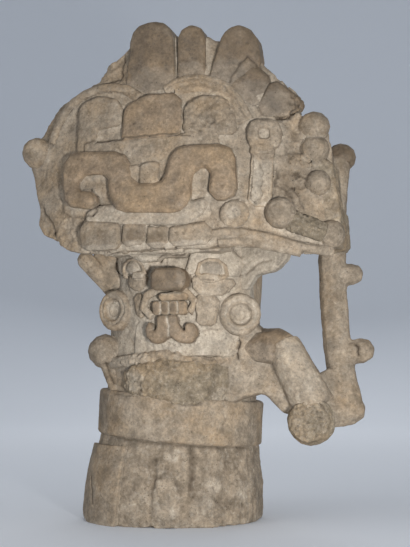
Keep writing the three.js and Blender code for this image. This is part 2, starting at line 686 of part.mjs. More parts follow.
// Crest: lobes that stand above the slab, thick where they rise clear of it and thinned out at the foot
const LOBE_ROOT = 13;
const LOBE_FOOT = 0.12;
const LOBES = [
  { corners: [[-23, 90, 3], [-18.5, 150, 16], [16.5, 150, 15], [20, 91, 3]], height: 12.5 },
  { corners: [[20.5, 95, 3], [21, 144.5, 11], [42.5, 144.5, 11], [44, 96, 3]], height: 11 },
  {
    corners: [[44.6, 94, 3], [57, 136, 10], [69, 145, 10], [83, 137, 11], [87, 113, 8], [73, 87, 3]],
    height: 11.5,
  },
  { corners: [[62, 91, 2], [75.5, 120, 5], [95, 99, 3], [83, 71, 3]], height: 7 },
  { corners: [[96, 100, 4], [82, 70, 3], [104, 66, 4], [121, 80, 6]], height: 9 },
];
LOBES.forEach(({ corners, height }, i) => {
  const ups = corners.map(([, up]) => up);
  const foot = Math.min(...ups);
  const tall = Math.max(...ups) - foot;
  lute(`crest_lobe_${i + 1}`, headdress, burnished, (grow) => {
    const lobe = pad(corners, height, 4, grow, LOBE_ROOT, 2);
    const thinned = move(lobe, (p) => {
      const stands = LOBE_FOOT + (1 - LOBE_FOOT) * Math.min((p.y - foot) / tall, 1);
      if (p.z > 0) p.z = grow + (p.z - grow) * stands;
    });
    return drape(thinned, slabFront, SLAB_STRIP);
  });
});

// Beads and rolls of the wings
const onSlabAt = (x, up, proud) => [x, -(slabFront(x, up) + proud), up];
const BEADS = [
  { name: 'knob_left', at: [-107, 53], radius: 13.2, proud: 3 },
  { name: 'bead_lower_inner', at: [104.5, -10.5], radius: 12, proud: 6 },
  { name: 'bead_lower_outer', at: [139.5, -25], radius: 10.8, proud: 3 },
  { name: 'bead_middle', at: [130, 15], radius: 10, proud: 2 },
];
for (const { name, at: [x, up], radius, proud } of BEADS) {
  lute(name, headdress, clay, (grow) => new THREE.SphereGeometry(radius + grow, 12, 8),
    { at: onSlabAt(x, up, proud) });
}
lute('bead_pair', headdress, clay, (grow) => worked(
  new THREE.SphereGeometry(12.5 + grow, 12, 8).translate(...onSlabAt(126, 60.5, 1)),
  new THREE.SphereGeometry(11.5 + grow, 12, 8).translate(...onSlabAt(127, 42.5, 1)),
));
lute('wing_roll', headdress, broken, (grow) => (
  slabCoil([[108, -14], [118, -18.5], [134, -24]], 8.5, 5, grow, 5)));
lute('wing_hem', headdress, clay, (grow) => worked(
  slabCoil([[54, -25.5], [75, -25], [96, -29], [120, -36], [140, -39]], 3.7, 0.5, grow, 9),
  slabCoil([[58, -32.5], [78, -32], [98, -35.5], [118, -40]], 3.7, -0.8, grow, 7),
));

// Hair at the sides of the face, under the headdress

// A rounded bar between two points, with half-round ends.
function bar(from, to, radius) {
  const start = new THREE.Vector3(...from);
  const end = new THREE.Vector3(...to);
  const along = end.clone().sub(start);
  const length = along.length();
  const middle = start.clone().add(end).multiplyScalar(0.5);
  return {
    make: (grow) => new THREE.CapsuleGeometry(radius + grow, length, 2, 8),
    place: { at: middle.toArray(), along: along.normalize() },
  };
}

// The bar as it lies, in the frame of its group.
function barAt(from, to, radius, grow) {
  const { make, place } = bar(from, to, radius);
  const turn = new THREE.Quaternion().setFromUnitVectors(new THREE.Vector3(0, 1, 0), place.along);
  return make(grow).applyQuaternion(turn).translate(...place.at);
}

lute('hair_left', head, clay, (grow) => worked(
  barAt([-48, -38, -11], [-65, -56, 12], 7.5, grow),
  plate([[-64, 20, 3], [-38, 22, 3], [-38, -10, 3], [-49, -12, 3]], 28, 50, grow),
));
lute('hair_right', head, clay, (grow) => move(plate([
  [52, -16, 3], [68, -14, 4], [76, -3, 6], [94, 0, 8], [106, 10, 6], [103, 22, 4], [56, 24, 3],
], 26, 40, grow), (p) => {
  p.y -= 0.4 * Math.max(p.x - 56, 0);
}));

// Shoulders, arm and staff

const shoulder = bar([69, -27, 140], [93.5, -41, 139.5], SHOULDER_RADIUS);
lute('shoulder_cap', limbs, burnished, shoulder.make, shoulder.place);

const ARM_TOP = new THREE.Vector3(95, -41, 142);
const ARM_END = new THREE.Vector3(123.5, -48, 92);
const ELBOW = new THREE.Vector3(120, -50, 82.5);
const armAlong = ARM_END.clone().sub(ARM_TOP);
lute('upper_arm', limbs, clay, (grow) => {
  const upright = new THREE.Vector3(0, 1, 0);
  const turn = new THREE.Quaternion().setFromUnitVectors(upright, armAlong.clone().normalize());
  const middle = ARM_TOP.clone().add(ARM_END).multiplyScalar(0.5);
  const limb = new THREE.CylinderGeometry(
    ELBOW_RADIUS + grow, ARM_RADIUS + grow, armAlong.length() + 2 * grow, 16);
  const web = plate([
    [48, 158, 4], [70, 161, 5], [86, 150, 8], [108, 126, 6], [109, 90, 4], [99, 86, 4],
    [80, 104, 5], [64, 100, 4], [58, 97, 3], [46, 97, 3],
  ], 18, 44, grow);
  return worked(limb.applyQuaternion(turn).translate(...middle.toArray()), web);
});

lute('arm_stump', limbs, broken, (grow) => lathe([
  [0, -26 - grow],
  [STUMP_RADIUS * 0.7 + grow, -22 - grow],
  [STUMP_RADIUS + grow, -12],
  [STUMP_RADIUS + grow, 9],
  [STUMP_RADIUS - 2.5, 13 + grow],
  [0, 14 + grow],
], 16), { at: ELBOW.toArray(), along: new THREE.Vector3(0.22, -1, -0.05).normalize() });

const STAFF_PATH = [
  [138, -20, 292], [134, -20, 250], [133.5, -22, 218], [134.5, -26, 180], [137, -30, 150],
  [141, -33, 120], [145.5, -36, 100], [147.5, -37, 93],
];
// The staff bends in at its foot, where a web of clay ties it to the elbow, and carries two knobs
lute('side_staff', limbs, clay, (grow) => worked(
  coil(STAFF_PATH, STAFF_RADIUS, grow, 9, 10),
  barAt([149, -37, 91], [133, -43, 87.5], STAFF_RADIUS + 0.3, grow),
  barAt([142, -24, 197], [149.5, -22, 198], 8.5, grow),
  barAt([146, -32, 135], [157.5, -30, 137], 9.5, grow),
  plate([
    [102, 124, 4], [113, 122, 3], [125.5, 118.5, 5], [136, 125, 3], [150, 96, 4], [148, 79.5, 5],
    [132, 77, 4], [118, 80, 4], [106, 96, 4],
  ], 32, 46, grow),
));
lute('staff_ball', limbs, burnished, (grow) => new THREE.SphereGeometry(11.8 + grow, 12, 8),
  { at: [141, -18, 293.5] });
lute('staff_web_upper', limbs, broken, (grow) => plate([
  [122, 286, 6], [140, 284, 5], [146, 244, 5], [148, 216, 4], [130, 212, 4], [118, 240, 4],
], 16, 62, grow));

lute('shoulder_ball_left', limbs, clay, (grow) => worked(
  new THREE.SphereGeometry(14.5 + grow, 12, 8).translate(...roundVessel(-0.94, 137.5, 6)),
  barAt(roundVessel(-0.91, 127, 5.5), roundVessel(-0.76, 108, 0.5), 5, grow),
));

export default urn;
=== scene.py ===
"""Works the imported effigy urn's clay by hand, wears and stains it, and lights it for its portrait."""

import math

import bmesh
import bpy
import numpy as np
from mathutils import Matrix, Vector, noise
from mathutils.bvhtree import BVHTree


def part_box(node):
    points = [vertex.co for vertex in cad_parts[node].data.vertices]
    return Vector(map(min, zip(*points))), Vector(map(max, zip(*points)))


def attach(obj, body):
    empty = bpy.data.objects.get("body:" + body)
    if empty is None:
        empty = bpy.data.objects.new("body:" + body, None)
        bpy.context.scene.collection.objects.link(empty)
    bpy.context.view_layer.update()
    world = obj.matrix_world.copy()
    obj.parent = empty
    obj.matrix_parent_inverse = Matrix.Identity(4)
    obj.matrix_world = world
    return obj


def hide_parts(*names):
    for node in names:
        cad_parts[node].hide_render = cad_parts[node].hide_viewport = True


bl_info = {
    "name": "Effigy Urn",
    "version": (1, 0, 0),
    "blender": (4, 5, 0),
    "location": "3D View > Sidebar > Effigy Urn",
    "description": "Gives the luted clay of an effigy urn its hand-worked skin, wear and colour",
    "category": "Object",
}

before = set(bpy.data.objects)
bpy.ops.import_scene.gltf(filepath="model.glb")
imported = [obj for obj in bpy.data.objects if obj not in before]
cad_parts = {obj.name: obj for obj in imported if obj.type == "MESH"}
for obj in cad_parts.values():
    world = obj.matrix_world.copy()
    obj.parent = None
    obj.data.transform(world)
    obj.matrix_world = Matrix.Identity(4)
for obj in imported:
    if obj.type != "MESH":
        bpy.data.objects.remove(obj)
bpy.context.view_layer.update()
MM = 0.001

# Points nearer to each other than this are merged
WELD = 0.01 * MM


def linear(hex_colour):
    """An sRGB hex value as the linear colour that the shaders take."""
    shares = [int(hex_colour[i : i + 2], 16) / 255 for i in (1, 3, 5)]
    return [s / 12.92 if s <= 0.04045 else ((s + 0.055) / 1.055) ** 2.4 for s in shares]


def colour(name, description, hex_colour):
    return bpy.props.FloatVectorProperty(
        name=name,
        description=description,
        default=linear(hex_colour),
        subtype="COLOR",
        size=3,
        min=0,
        max=1,
    )


def length(name, description, millimetres):
    return bpy.props.FloatProperty(
        name=name,
        description=description,
        default=millimetres * MM,
        unit="LENGTH",
        precision=5,
    )


class UrnSizes(bpy.types.PropertyGroup):
    face_skin: length("Face skin", "Spacing of the even skin on the face", 0.65)
    fine_skin: length("Fine skin", "Spacing of the even skin on reliefs and beads", 0.85)
    slab_skin: length("Slab skin", "Spacing of the even skin on the headdress slab", 1.0)
    broad_skin: length("Broad skin", "Spacing of the even skin on the foot and the limbs", 1.2)
    vessel_skin: length("Vessel skin", "Spacing of the even skin on the vessel", 2.0)
    seam: length("Seam", "Skin nearer than this to an earlier lump belongs to the root", 0.5)
    root: length("Root", "How far a root is pushed into the earlier lump", 2.0)
    swell: length("Swell", "How far each lump is pressed into its neighbours", 0.3)
    hand: length("Hand marks", "Depth of the soft unevenness that fingers leave", 1.0)
    hand_span: length("Hand mark width", "Width of one of those soft dents", 16)
    grain: length("Grain", "Depth of the weathered grain", 0.42)
    grain_span: length("Grain width", "Width of one weathered hollow", 4)


class UrnColours(bpy.types.PropertyGroup):
    fired: colour("Fired clay", "The body of low-fired clay", "#8F816F")
    ochre: colour("Ochre", "Warmer areas where the fire reached well", "#988062")
    smoke: colour("Smoke", "Grey-brown areas where the fire was starved", "#6C6153")
    slip: colour("Rubbed slip", "The browner, rubbed skin of raised features", "#82705B")
    soil: colour("Burial soil", "Pale soil that stayed in the recesses", "#A89D8D")
    # The stain colour also paints the shade put in seams and sharp folds
    stain_and_shade: colour("Stain", "Dark specks of manganese and root marks", "#4A3F33")
    core: colour("Broken core", "The grainy inside where a piece broke off", "#817563")


class UrnStage(bpy.types.PropertyGroup):
    floor: colour("Floor", "Pale blue-grey sweep under and behind the urn", "#EEF2F8")
    azimuth: bpy.props.FloatProperty(
        name="Azimuth",
        description="Camera's turn to the figure's left",
        default=math.radians(16),
        subtype="ANGLE",
    )
    elevation: bpy.props.FloatProperty(
        name="Elevation",
        description="Camera's height as an angle above the middle of the urn",
        default=math.radians(-6),
        subtype="ANGLE",
    )
    distance: length("Camera distance", "From the camera to the middle of the urn", 900)
    lens: bpy.props.FloatProperty(
        name="Lens",
        description="Focal length for a sensor whose long side is 36 mm",
        default=69.1,
        subtype="DISTANCE_CAMERA",
    )


# Clay finishes


def add(tree, kind, inputs=None, **settings):
    """Adds one node with its settings. An input takes a value or the socket that feeds it."""
    node = tree.nodes.new(kind)
    for name, value in settings.items():
        setattr(node, name, value)
    for socket, value in (inputs or {}).items():
        if isinstance(value, bpy.types.NodeSocket):
            tree.links.new(value, node.inputs[socket])
        else:
            node.inputs[socket].default_value = value
    return node


# How the patterns in the clay are drawn. A span is the real width of one patch in millimetres, but the
# mottling is a little coarser than it is, because finer than this it would not show in a picture of the
# whole urn. Detail and rough make the patches ragged, and shift keeps one pattern from lying on another.
# From start to full, the noise rises from the least to the most of an effect.
PATTERNS = {
    "fire": {"span": 30, "detail": 4, "rough": 0.55, "shift": 0, "start": 0.42, "full": 0.66},
    "smoke": {"span": 17, "detail": 5, "rough": 0.65, "shift": 3, "start": 0.5, "full": 0.72},
    "recess gaps": {"span": 5, "detail": 3, "rough": 0.6, "shift": 7, "start": 0.35, "full": 0.6},
    "crust": {"span": 22, "detail": 5, "rough": 0.7, "shift": 9, "start": 0.52, "full": 0.75},
    "hollows": {"span": 3.6, "detail": 4, "rough": 0.65, "shift": 2, "start": 0.48, "full": 0.34},
    "mottle": {"span": 2.4, "detail": 5, "rough": 0.8, "shift": 5, "start": 0.3, "full": 0.7},
    "broad mottle": {"span": 10, "detail": 3, "rough": 0.6, "shift": 15, "start": 0.35, "full": 0.65},
    "speck groups": {"span": 9, "detail": 3, "rough": 0.6, "shift": 11, "start": 0.45, "full": 0.6},
    "fine grain": {"span": 1.3, "detail": 3, "rough": 0.7, "shift": 0, "start": 0.0, "full": 1.0},
    "coarse grain": {"span": 3.6, "detail": 4, "rough": 0.65, "shift": 2, "start": 0.0, "full": 1.0},
    "gloss": {"span": 6, "detail": 3, "rough": 0.6, "shift": 13, "start": 0.3, "full": 0.7},
}

# How far into a recess soil reaches, and how deep the grain looks under the light, in millimetres
RECESS_REACH = 7
GRAIN_DEPTH = 0.8

CLAY_IOR = 1.5


def clay_material(name, body, colours, look):
    """Clay whose colour drifts with the fire, with specks, worn edges and soil in its recesses."""
    material = bpy.data.materials.new(name)
    material.use_nodes = True
    tree = material.node_tree
    tree.nodes.clear()
    place = add(tree, "ShaderNodeTexCoord").outputs["Object"]
    proud = add(tree, "ShaderNodeNewGeometry").outputs["Pointiness"]
    soiled, stains_and_shade, darkened = (
        add(tree, "ShaderNodeAttribute", attribute_name=attribute).outputs["Fac"]
        for attribute in ("soil", "stain_and_shade", "darkening")
    )

    def patches(pattern, least, most):
        """A pattern of soft patches: the least of an effect lies between them, and the most in them."""
        drawn = PATTERNS[pattern]
        shift = (drawn["shift"], drawn["shift"], 0)
        moved = add(tree, "ShaderNodeMapping", {"Vector": place, "Location": shift})
        cloud = add(
            tree,
            "ShaderNodeTexNoise",
            {
                "Vector": moved.outputs[0],
                "Scale": 1 / (drawn["span"] * MM),
                "Detail": drawn["detail"],
                "Roughness": drawn["rough"],
            },
        )
        return add(
            tree,
            "ShaderNodeMapRange",
            {
                "Value": cloud.outputs["Fac"],
                "From Min": drawn["start"],
                "From Max": drawn["full"],
                "To Min": least,
                "To Max": most,
            },
        ).outputs[0]

    # Soil gathers where the clay sees less than 0.85 of the sky, and is full where it sees 0.35. More lies
    # where it is painted on, in drifting crusts and in small hollows.
    sky = add(tree, "ShaderNodeAmbientOcclusion", {"Distance": RECESS_REACH * MM}, samples=6)
    recess = add(
        tree,
        "ShaderNodeMapRange",
        {"Value": sky.outputs["AO"], "From Min": 0.85, "From Max": 0.35, "To Max": look["soil"]},
    )
    bed = add(
        tree,
        "ShaderNodeMath",
        {0: recess.outputs[0], 1: patches("recess gaps", 0.35, 1.0)},
        operation="MULTIPLY",
    ).outputs[0]
    for more in (soiled, patches("crust", 0, look["crust"]), patches("hollows", 0, look["hollows"])):
        bed = add(tree, "ShaderNodeMath", {0: bed, 1: more}, operation="ADD", use_clamp=True).outputs[0]

    # Edges that stand proud are worn
    worn = add(
        tree,
        "ShaderNodeMapRange",
        {"Value": proud, "From Min": 0.52, "From Max": 0.6, "To Max": look["wear"]},
    ).outputs[0]

    # Warm where the fire reached well and grey where it was starved, then the soil and the worn edges
    shade = (*body, 1)
    for share, over in (
        (patches("fire", 0, look["ochre"]), colours.ochre),
        (patches("smoke", 0, look["smoke"]), colours.smoke),
        (bed, colours.soil),
        (worn, colours.ochre),
    ):
        layer = {"Factor": share, 6: shade, 7: (*over, 1)}
        shade = add(tree, "ShaderNodeMix", layer, data_type="RGBA").outputs[2]

    # Mottled at two widths, and darker by the share painted on each piece
    tone = add(tree, "ShaderNodeMath", {0: 1.0, 1: darkened}, operation="SUBTRACT").outputs[0]
    for mottle in (patches("mottle", 0.62, 1.36), patches("broad mottle", 0.79, 1.2)):
        tone = add(tree, "ShaderNodeMath", {0: tone, 1: mottle}, operation="MULTIPLY").outputs[0]
    grey = add(tree, "ShaderNodeCombineColor", {0: tone, 1: tone, 2: tone}).outputs[0]
    layer = {"Factor": 1.0, 6: shade, 7: grey}
    shade = add(tree, "ShaderNodeMix", layer, data_type="RGBA", blend_type="MULTIPLY").outputs[2]

    # Dark specks in loose groups, painted shade in sharp folds, and the painted stains and seam shade
    cells = add(
        tree,
        "ShaderNodeTexVoronoi",
        {"Vector": place, "Scale": 1 / (look["speck_span"] * MM), "Randomness": 1.0},
    )
    dots = add(
        tree,
        "ShaderNodeMapRange",
        {"Value": cells.outputs["Distance"], "From Min": 0.2, "From Max": 0.08},
    )
    specks = add(
        tree,
        "ShaderNodeMath",
        {0: dots.outputs[0], 1: patches("speck groups", 0, look["specks"])},
        operation="MULTIPLY",
    ).outputs[0]
    # Painted shade where the skin folds sharply inward
    fold_shade = add(
        tree,
        "ShaderNodeMapRange",
        {"Value": proud, "From Min": 0.47, "From Max": 0.4, "To Max": 0.35},
    ).outputs[0]
    dark_share = specks
    for more in (fold_shade, stains_and_shade):
        dark_share = add(tree, "ShaderNodeMath", {0: dark_share, 1: more}, operation="ADD", use_clamp=True).outputs[0]
    layer = {"Factor": dark_share, 6: shade, 7: (*colours.stain_and_shade, 1)}
    shade = add(tree, "ShaderNodeMix", layer, data_type="RGBA").outputs[2]

    # The grain under the light, with each speck a small pit
    grain = add(
        tree,
        "ShaderNodeMath",
        {0: patches("fine grain", 0, 0.45), 1: patches("coarse grain", 0, 0.55)},
        operation="ADD",
    )
    relief = add(
        tree,
        "ShaderNodeMath",
        {0: specks, 1: -0.4, 2: grain.outputs[0]},
        operation="MULTIPLY_ADD",
    )
    bump = add(
        tree,
        "ShaderNodeBump",
        {"Height": relief.outputs[0], "Strength": look["bump"], "Distance": GRAIN_DEPTH * MM},
    )
    shader = add(
        tree,
        "ShaderNodeBsdfPrincipled",
        {
            "Base Color": shade,
            "Roughness": patches("gloss", look["roughness"] - 0.08, look["roughness"] + 0.06),
            "Normal": bump.outputs[0],
            "IOR": CLAY_IOR,
            "Specular IOR Level": look["specular"],
        },
    )
    add(tree, "ShaderNodeOutputMaterial", {"Surface": shader.outputs[0]})
    return material


# How strongly each effect shows in a finish, from 0 to 1; the spacing of the specks is in millimetres
LOOKS = {
    # Warm grey-buff, matt and mottled: the open body of low-fired clay
    "fired clay": {
        "ochre": 0.55,
        "smoke": 0.55,
        "soil": 0.75,
        "crust": 0.4,
        "hollows": 0.3,
        "wear": 0.3,
        "speck_span": 3.2,
        "specks": 0.7,
        "bump": 0.75,
        "roughness": 0.9,
        "specular": 0.25,
    },
    # Browner and a little closed, where the raised features were rubbed smooth
    "rubbed slip": {
        "ochre": 0.6,
        "smoke": 0.65,
        "soil": 0.8,
        "crust": 0.25,
        "hollows": 0.08,
        "wear": 0.45,
        "speck_span": 4.0,
        "specks": 0.7,
        "bump": 0.5,
        "roughness": 0.72,
        "specular": 0.35,
    },
    # Pale and chalky, with soil still bound to it
    "soil-bound clay": {
        "ochre": 0.35,
        "smoke": 0.4,
        "soil": 0.6,
        "crust": 0.6,
        "hollows": 0.25,
        "wear": 0.2,
        "speck_span": 3.0,
        "specks": 0.9,
        "bump": 0.8,
        "roughness": 0.95,
        "specular": 0.2,
    },
    # Coarse and grainy: the inside of the clay where a piece broke off
    "broken core": {
        "ochre": 0.5,
        "smoke": 0.6,
        "soil": 0.5,
        "crust": 0.45,
        "hollows": 0.35,
        "wear": 0.3,
        "speck_span": 2.4,
        "specks": 0.9,
        "bump": 1.0,
        "roughness": 0.96,
        "specular": 0.15,
    },
    # Greyer, pitted and streaked by roots, as the foot is
    "rooted clay": {
        "ochre": 0.12,
        "smoke": 0.7,
        "soil": 0.6,
        "crust": 0.95,
        "hollows": 0.5,
        "wear": 0.3,
        "speck_span": 2.6,
        "specks": 0.9,
        "bump": 1.0,
        "roughness": 0.95,
        "specular": 0.2,
    },
}


def finish(name):
    """The clay finish of that name, made once."""
    found = bpy.data.materials.get(name)
    if found:
        return found
    colours = bpy.context.scene.urn_colours
    body = {
        "fired clay": colours.fired,
        "rubbed slip": colours.slip,
        "soil-bound clay": colours.soil,
        "broken core": colours.core,
        "rooted clay": colours.fired,
    }[name]
    return clay_material(name, body, colours, LOOKS[name])


# Working the clay

# How strongly a pit is stained, how much soil shows where clay is banked up, and how wide the painted
# shade in a seam is in millimetres
PIT_STAIN = 0.25
BANKED_SOIL = 0.4
SEAM_SHADE = 1.1

# Torn clay has lumps of several sizes: how fast they get flatter as they get finer, how much finer each
# size is than the last, and how many there are
TORN_FADE = 0.8
TORN_STEP = 2.1
TORN_SIZES = 4


def shell_of(nodes):
    """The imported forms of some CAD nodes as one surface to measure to, in metres."""
    shell = bmesh.new()
    for node in nodes:
        shell.from_mesh(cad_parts[node].data)
    tree = BVHTree.FromBMesh(shell)
    shell.free()
    return tree


def sink_root(lump, carriers):
    """Pushes the skin that meets an earlier lump down into it, so that they join without a groove."""
    if not carriers:
        return
    shell = shell_of(carriers)
    sizes = bpy.context.scene.urn_sizes
    for point in lump.verts:
        _, normal, _, distance = shell.find_nearest(point.co)
        if distance < sizes.seam:
            point.co -= normal * sizes.root


def clouds(name, span, depth):
    """A soft noise that presses dents of one width into the skin, with finer ones at more depth."""
    texture = bpy.data.textures.get(name) or bpy.data.textures.new(name, "CLOUDS")
    texture.noise_scale = span
    texture.noise_depth = depth
    return texture


def even_skin(node, carriers, spacing, smoothing=6, hand=1.0, grain=1.0):
    """A lump with the form of a CAD node, in an even skin that fingers and weather have dented."""
    sizes = bpy.context.scene.urn_sizes
    lump = bmesh.new()
    lump.from_mesh(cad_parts[node].data)
    bmesh.ops.remove_doubles(lump, verts=lump.verts, dist=WELD)
    sink_root(lump, carriers)
    mesh = bpy.data.meshes.new(f"clay_{node}")
    lump.to_mesh(mesh)
    lump.free()
    piece = bpy.data.objects.new(f"clay_{node}", mesh)
    bpy.context.scene.collection.objects.link(piece)
    swell = piece.modifiers.new("Pressed on", "DISPLACE")
    swell.strength = sizes.swell
    swell.mid_level = 0
    skin = piece.modifiers.new("Even skin", "REMESH")
    skin.mode = "VOXEL"
    skin.voxel_size = spacing
    skin.use_smooth_shade = True
    rub = piece.modifiers.new("Rubbed", "SMOOTH")
    rub.factor = 0.5
    rub.iterations = smoothing
    dents = piece.modifiers.new("Hand marks", "DISPLACE")
    dents.texture = clouds("hand marks", sizes.hand_span, depth=1)
    dents.strength = sizes.hand * hand
    rough = piece.modifiers.new("Weathered grain", "DISPLACE")
    rough.texture = clouds("weathered grain", sizes.grain_span, depth=3)
    rough.strength = sizes.grain * grain
    settle(piece)
    return piece


def settle(piece):
    """Makes the modifiers part of the mesh."""
    seen = piece.evaluated_get(bpy.context.evaluated_depsgraph_get())
    worked = bpy.data.meshes.new_from_object(seen)
    plain = piece.data
    piece.modifiers.clear()
    piece.data = worked
    bpy.data.meshes.remove(plain)
    worked.name = piece.name


def points_of(piece):
    """The skin's points and normals, in millimetres, as two arrays."""
    mesh = piece.data
    count = len(mesh.vertices)
    points = np.empty(count * 3)
    mesh.vertices.foreach_get("co", points)
    normals = np.empty(count * 3)
    mesh.vertices.foreach_get("normal", normals)
    return points.reshape(-1, 3) / MM, normals.reshape(-1, 3)


def press(piece, depth):
    """Presses each point in by its own depth in millimetres, along the skin's normal."""
    points, normals = points_of(piece)
    moved = (points - normals * depth[:, None]) * MM
    piece.data.vertices.foreach_set("co", moved.ravel())
    piece.data.update()


def paint(piece, attribute, share):
    """Adds to one of the shares that the finish reads at each point: soil, stains with painted shade, and
    darkening.
    """
    layer = piece.data.attributes.get(attribute) or piece.data.attributes.new(attribute, "FLOAT", "POINT")
    old = np.empty(len(piece.data.vertices))
    layer.data.foreach_get("value", old)
    layer.data.foreach_set("value", np.clip(old + share, 0, 1))


def facing(normals):
    """1 where the skin faces the front, falling to 0 where it turns aside."""
    aside = 0.15
    fade = 0.3
    return np.clip((-normals[:, 1] - aside) / fade, 0, 1)


def away_from_line(points, line):
    """Distance in millimetres from each point to a line seen from the front, with a hand's wobble."""
    flat = points[:, [0, 2]]
    broad_wobble = 0.4 * np.sin(flat[:, ::-1] / 2.3)
    fine_wobble = 0.25 * np.sin(flat[:, ::-1] / 0.9 + 1.0)
    flat = flat + broad_wobble + fine_wobble
    nearest = np.full(len(flat), np.inf)
    for start, end in zip(line[:-1], line[1:]):
        start = np.array(start, float)
        step = np.array(end, float) - start
        share = np.clip(((flat - start) @ step) / (step @ step), 0, 1)
        nearest = np.minimum(nearest, np.linalg.norm(flat - start - share[:, None] * step, axis=1))
    return nearest


def groove(piece, line, width, depth, stain_and_shade=0.0, soil=0.0):
    """Draws a groove along a line of (x, z) points on the front of the piece."""
    points, normals = points_of(piece)
    share = np.exp(-((away_from_line(points, line) / width) ** 2)) * facing(normals)
    press(piece, share * depth)
    paint(piece, "stain_and_shade", share * stain_and_shade)
    paint(piece, "soil", share * soil)


def ring(centre, radius):
    """A round line of (x, z) points."""
    sides = 24
    turns = [2 * math.pi * i / sides for i in range(sides + 1)]
    return [(centre[0] + radius * math.sin(turn), centre[1] + radius * math.cos(turn)) for turn in turns]


def patch(piece, centre, reach, soil=0.0, stain_and_shade=0.0, depth=0.0):
    """Paints, and may press, an oval patch with a ragged edge round an (x, z) point on the front."""
    points, normals = points_of(piece)
    # The patch is full up to about 0.8 of its reach and ends by about 1.15, a little in or out of that
    flat = (points[:, [0, 2]] - np.array(centre)) / np.array(reach)
    ragged = 0.25 * np.sin(points[:, 0] / 1.7 + points[:, 2] / 2.9) + 0.2 * np.sin(points[:, 2] / 1.3)
    away = np.linalg.norm(flat, axis=1)
    inside = np.clip((1.15 - away + 0.3 * ragged) / 0.35, 0, 1) * facing(normals)
    paint(piece, "soil", inside * soil)
    paint(piece, "stain_and_shade", inside * stain_and_shade)
    press(piece, inside * depth)


def dome(piece, centre, reach, height):
    """Raises a round swelling on the front."""
    points, normals = points_of(piece)
    away = np.linalg.norm((points[:, [0, 2]] - np.array(centre)) / np.array(reach), axis=1)
    press(piece, -height * np.sqrt(np.clip(1 - away**2, 0, 1)) * facing(normals))


def tear(piece, centre, reach, depth, span=3.0, stain_and_shade=0.0):
    """Roughens an oval patch into torn clay, lumpy at a span of millimetres."""
    points, _ = points_of(piece)
    away = np.linalg.norm((points - np.array(centre)) / np.array(reach), axis=1)
    # The tear is full up to 0.8 of its reach and ends at 1.1
    inside = np.clip((1.1 - away) / 0.3, 0, 1)
    lumps = np.zeros(len(points))
    for i in np.flatnonzero(inside):
        lumps[i] = noise.fractal(Vector(points[i] / span), TORN_FADE, TORN_STEP, TORN_SIZES)
    press(piece, inside * lumps * depth)
    paint(piece, "stain_and_shade", inside * np.clip(lumps, 0, 1) * stain_and_shade)


def streaks(piece, depth, across, along, stain_and_shade):
    """Scores the piece with upright streaks, as roots and a dragged tool leave."""
    points, _ = points_of(piece)
    spans = np.array([across, across, along])
    marks = np.array([noise.noise(Vector(point)) for point in points / spans])
    sharpness = 2.2
    marks = np.clip(marks * sharpness, 0, 1)
    press(piece, marks * depth)
    paint(piece, "stain_and_shade", marks * stain_and_shade)


def pits(piece, count, size, depth, seed):
    """Chips small pits out of the skin at chance places, the same ones each time."""
    points, _ = points_of(piece)
    chance = np.random.default_rng(seed)
    sunk = np.zeros(len(points))
    # Each pit has its own width and depth
    for middle in points[chance.integers(0, len(points), count)]:
        width = size * chance.uniform(0.6, 1.5)
        away = np.linalg.norm(points - middle, axis=1) / width
        sunk = np.maximum(sunk, np.exp(-(away**2)) * chance.uniform(0.4, 1))
    press(piece, sunk * depth)
    paint(piece, "stain_and_shade", sunk * PIT_STAIN)


def stand(piece):
    """Flattens what hangs below the ground that the piece stands on."""
    points, _ = points_of(piece)
    points[:, 2] = np.maximum(points[:, 2], 0)
    piece.data.vertices.foreach_set("co", (points * MM).ravel())
    piece.data.update()


# On this side of a relief, up and to the left as seen from the front, shade is painted into the seam
SHADED_SIDE = Vector((0.8, 0, -0.6))


def bank(piece, nodes, height, reach, dark_share):
    """Banks clay and soil up against the nodes on the piece, with painted shade on their shaded side."""
    shell = shell_of(nodes)
    points, _ = points_of(piece)
    away = np.full(len(points), np.inf)
    shaded = np.zeros(len(points))
    for i, point in enumerate(points):
        place = Vector(point)
        nearest, _, _, distance = shell.find_nearest(place * MM, 3 * reach * MM)
        if nearest is None:
            continue
        away[i] = distance / MM
        towards = nearest / MM - place
        towards.y = 0
        shaded[i] = min(max(1.5 * towards.normalized().dot(SHADED_SIDE), 0), 1)
    # The bank is higher in some places than in others, and lower on the side where shade is painted
    uneven = 0.75 + 0.25 * np.sin(points[:, 0] / 4.1) * np.cos(points[:, 2] / 5.3)
    share = np.exp(-((away / reach) ** 2)) * uneven * (1 - 0.7 * shaded)
    press(piece, -share * height)
    paint(piece, "soil", share * BANKED_SOIL)
    # Painted shade in the seam on each relief's shaded side
    paint(piece, "stain_and_shade", np.exp(-((away / SEAM_SHADE) ** 2)) * shaded * dark_share)


# The nodes in the order in which they were luted on: a lump's root goes into those before it
LUTED = [
    "vessel_floor", "vessel_wall", "base_band", "pedestal_skirt", "pedestal_lap", "chest_scar",
    "shoulder_roll", "head_block", "mouth_frame", "nose_block", "upper_lip", "tooth_row", "tongue",
    "upper_eye_plate_left", "upper_eye_plate_right", "lower_eye_plate_left", "lower_eye_plate_right",
    "eye_left", "eye_right", "cheek_plate_left", "cheek_plate_right", "ear_disc_left", "ear_disc_right",
    "headdress_slab", "headdress_backing", "volute_band", "forehead_panel_1", "brow_bar",
    "forehead_panel_2", "forehead_panel_3", "lip_ledge", "fang_1", "fang_2", "fang_3", "fang_4",
    "square_boss", "round_boss", "brow_coil_left", "brow_coils_right",
    "crest_lobe_1", "crest_lobe_2", "crest_lobe_3", "crest_lobe_4", "crest_lobe_5",
    "knob_left", "bead_lower_inner", "bead_lower_outer", "bead_middle", "bead_pair",
    "wing_roll", "wing_hem", "hair_left", "hair_right", "shoulder_cap", "upper_arm", "arm_stump",
    "side_staff", "staff_ball", "staff_web_upper", "shoulder_ball_left",
]


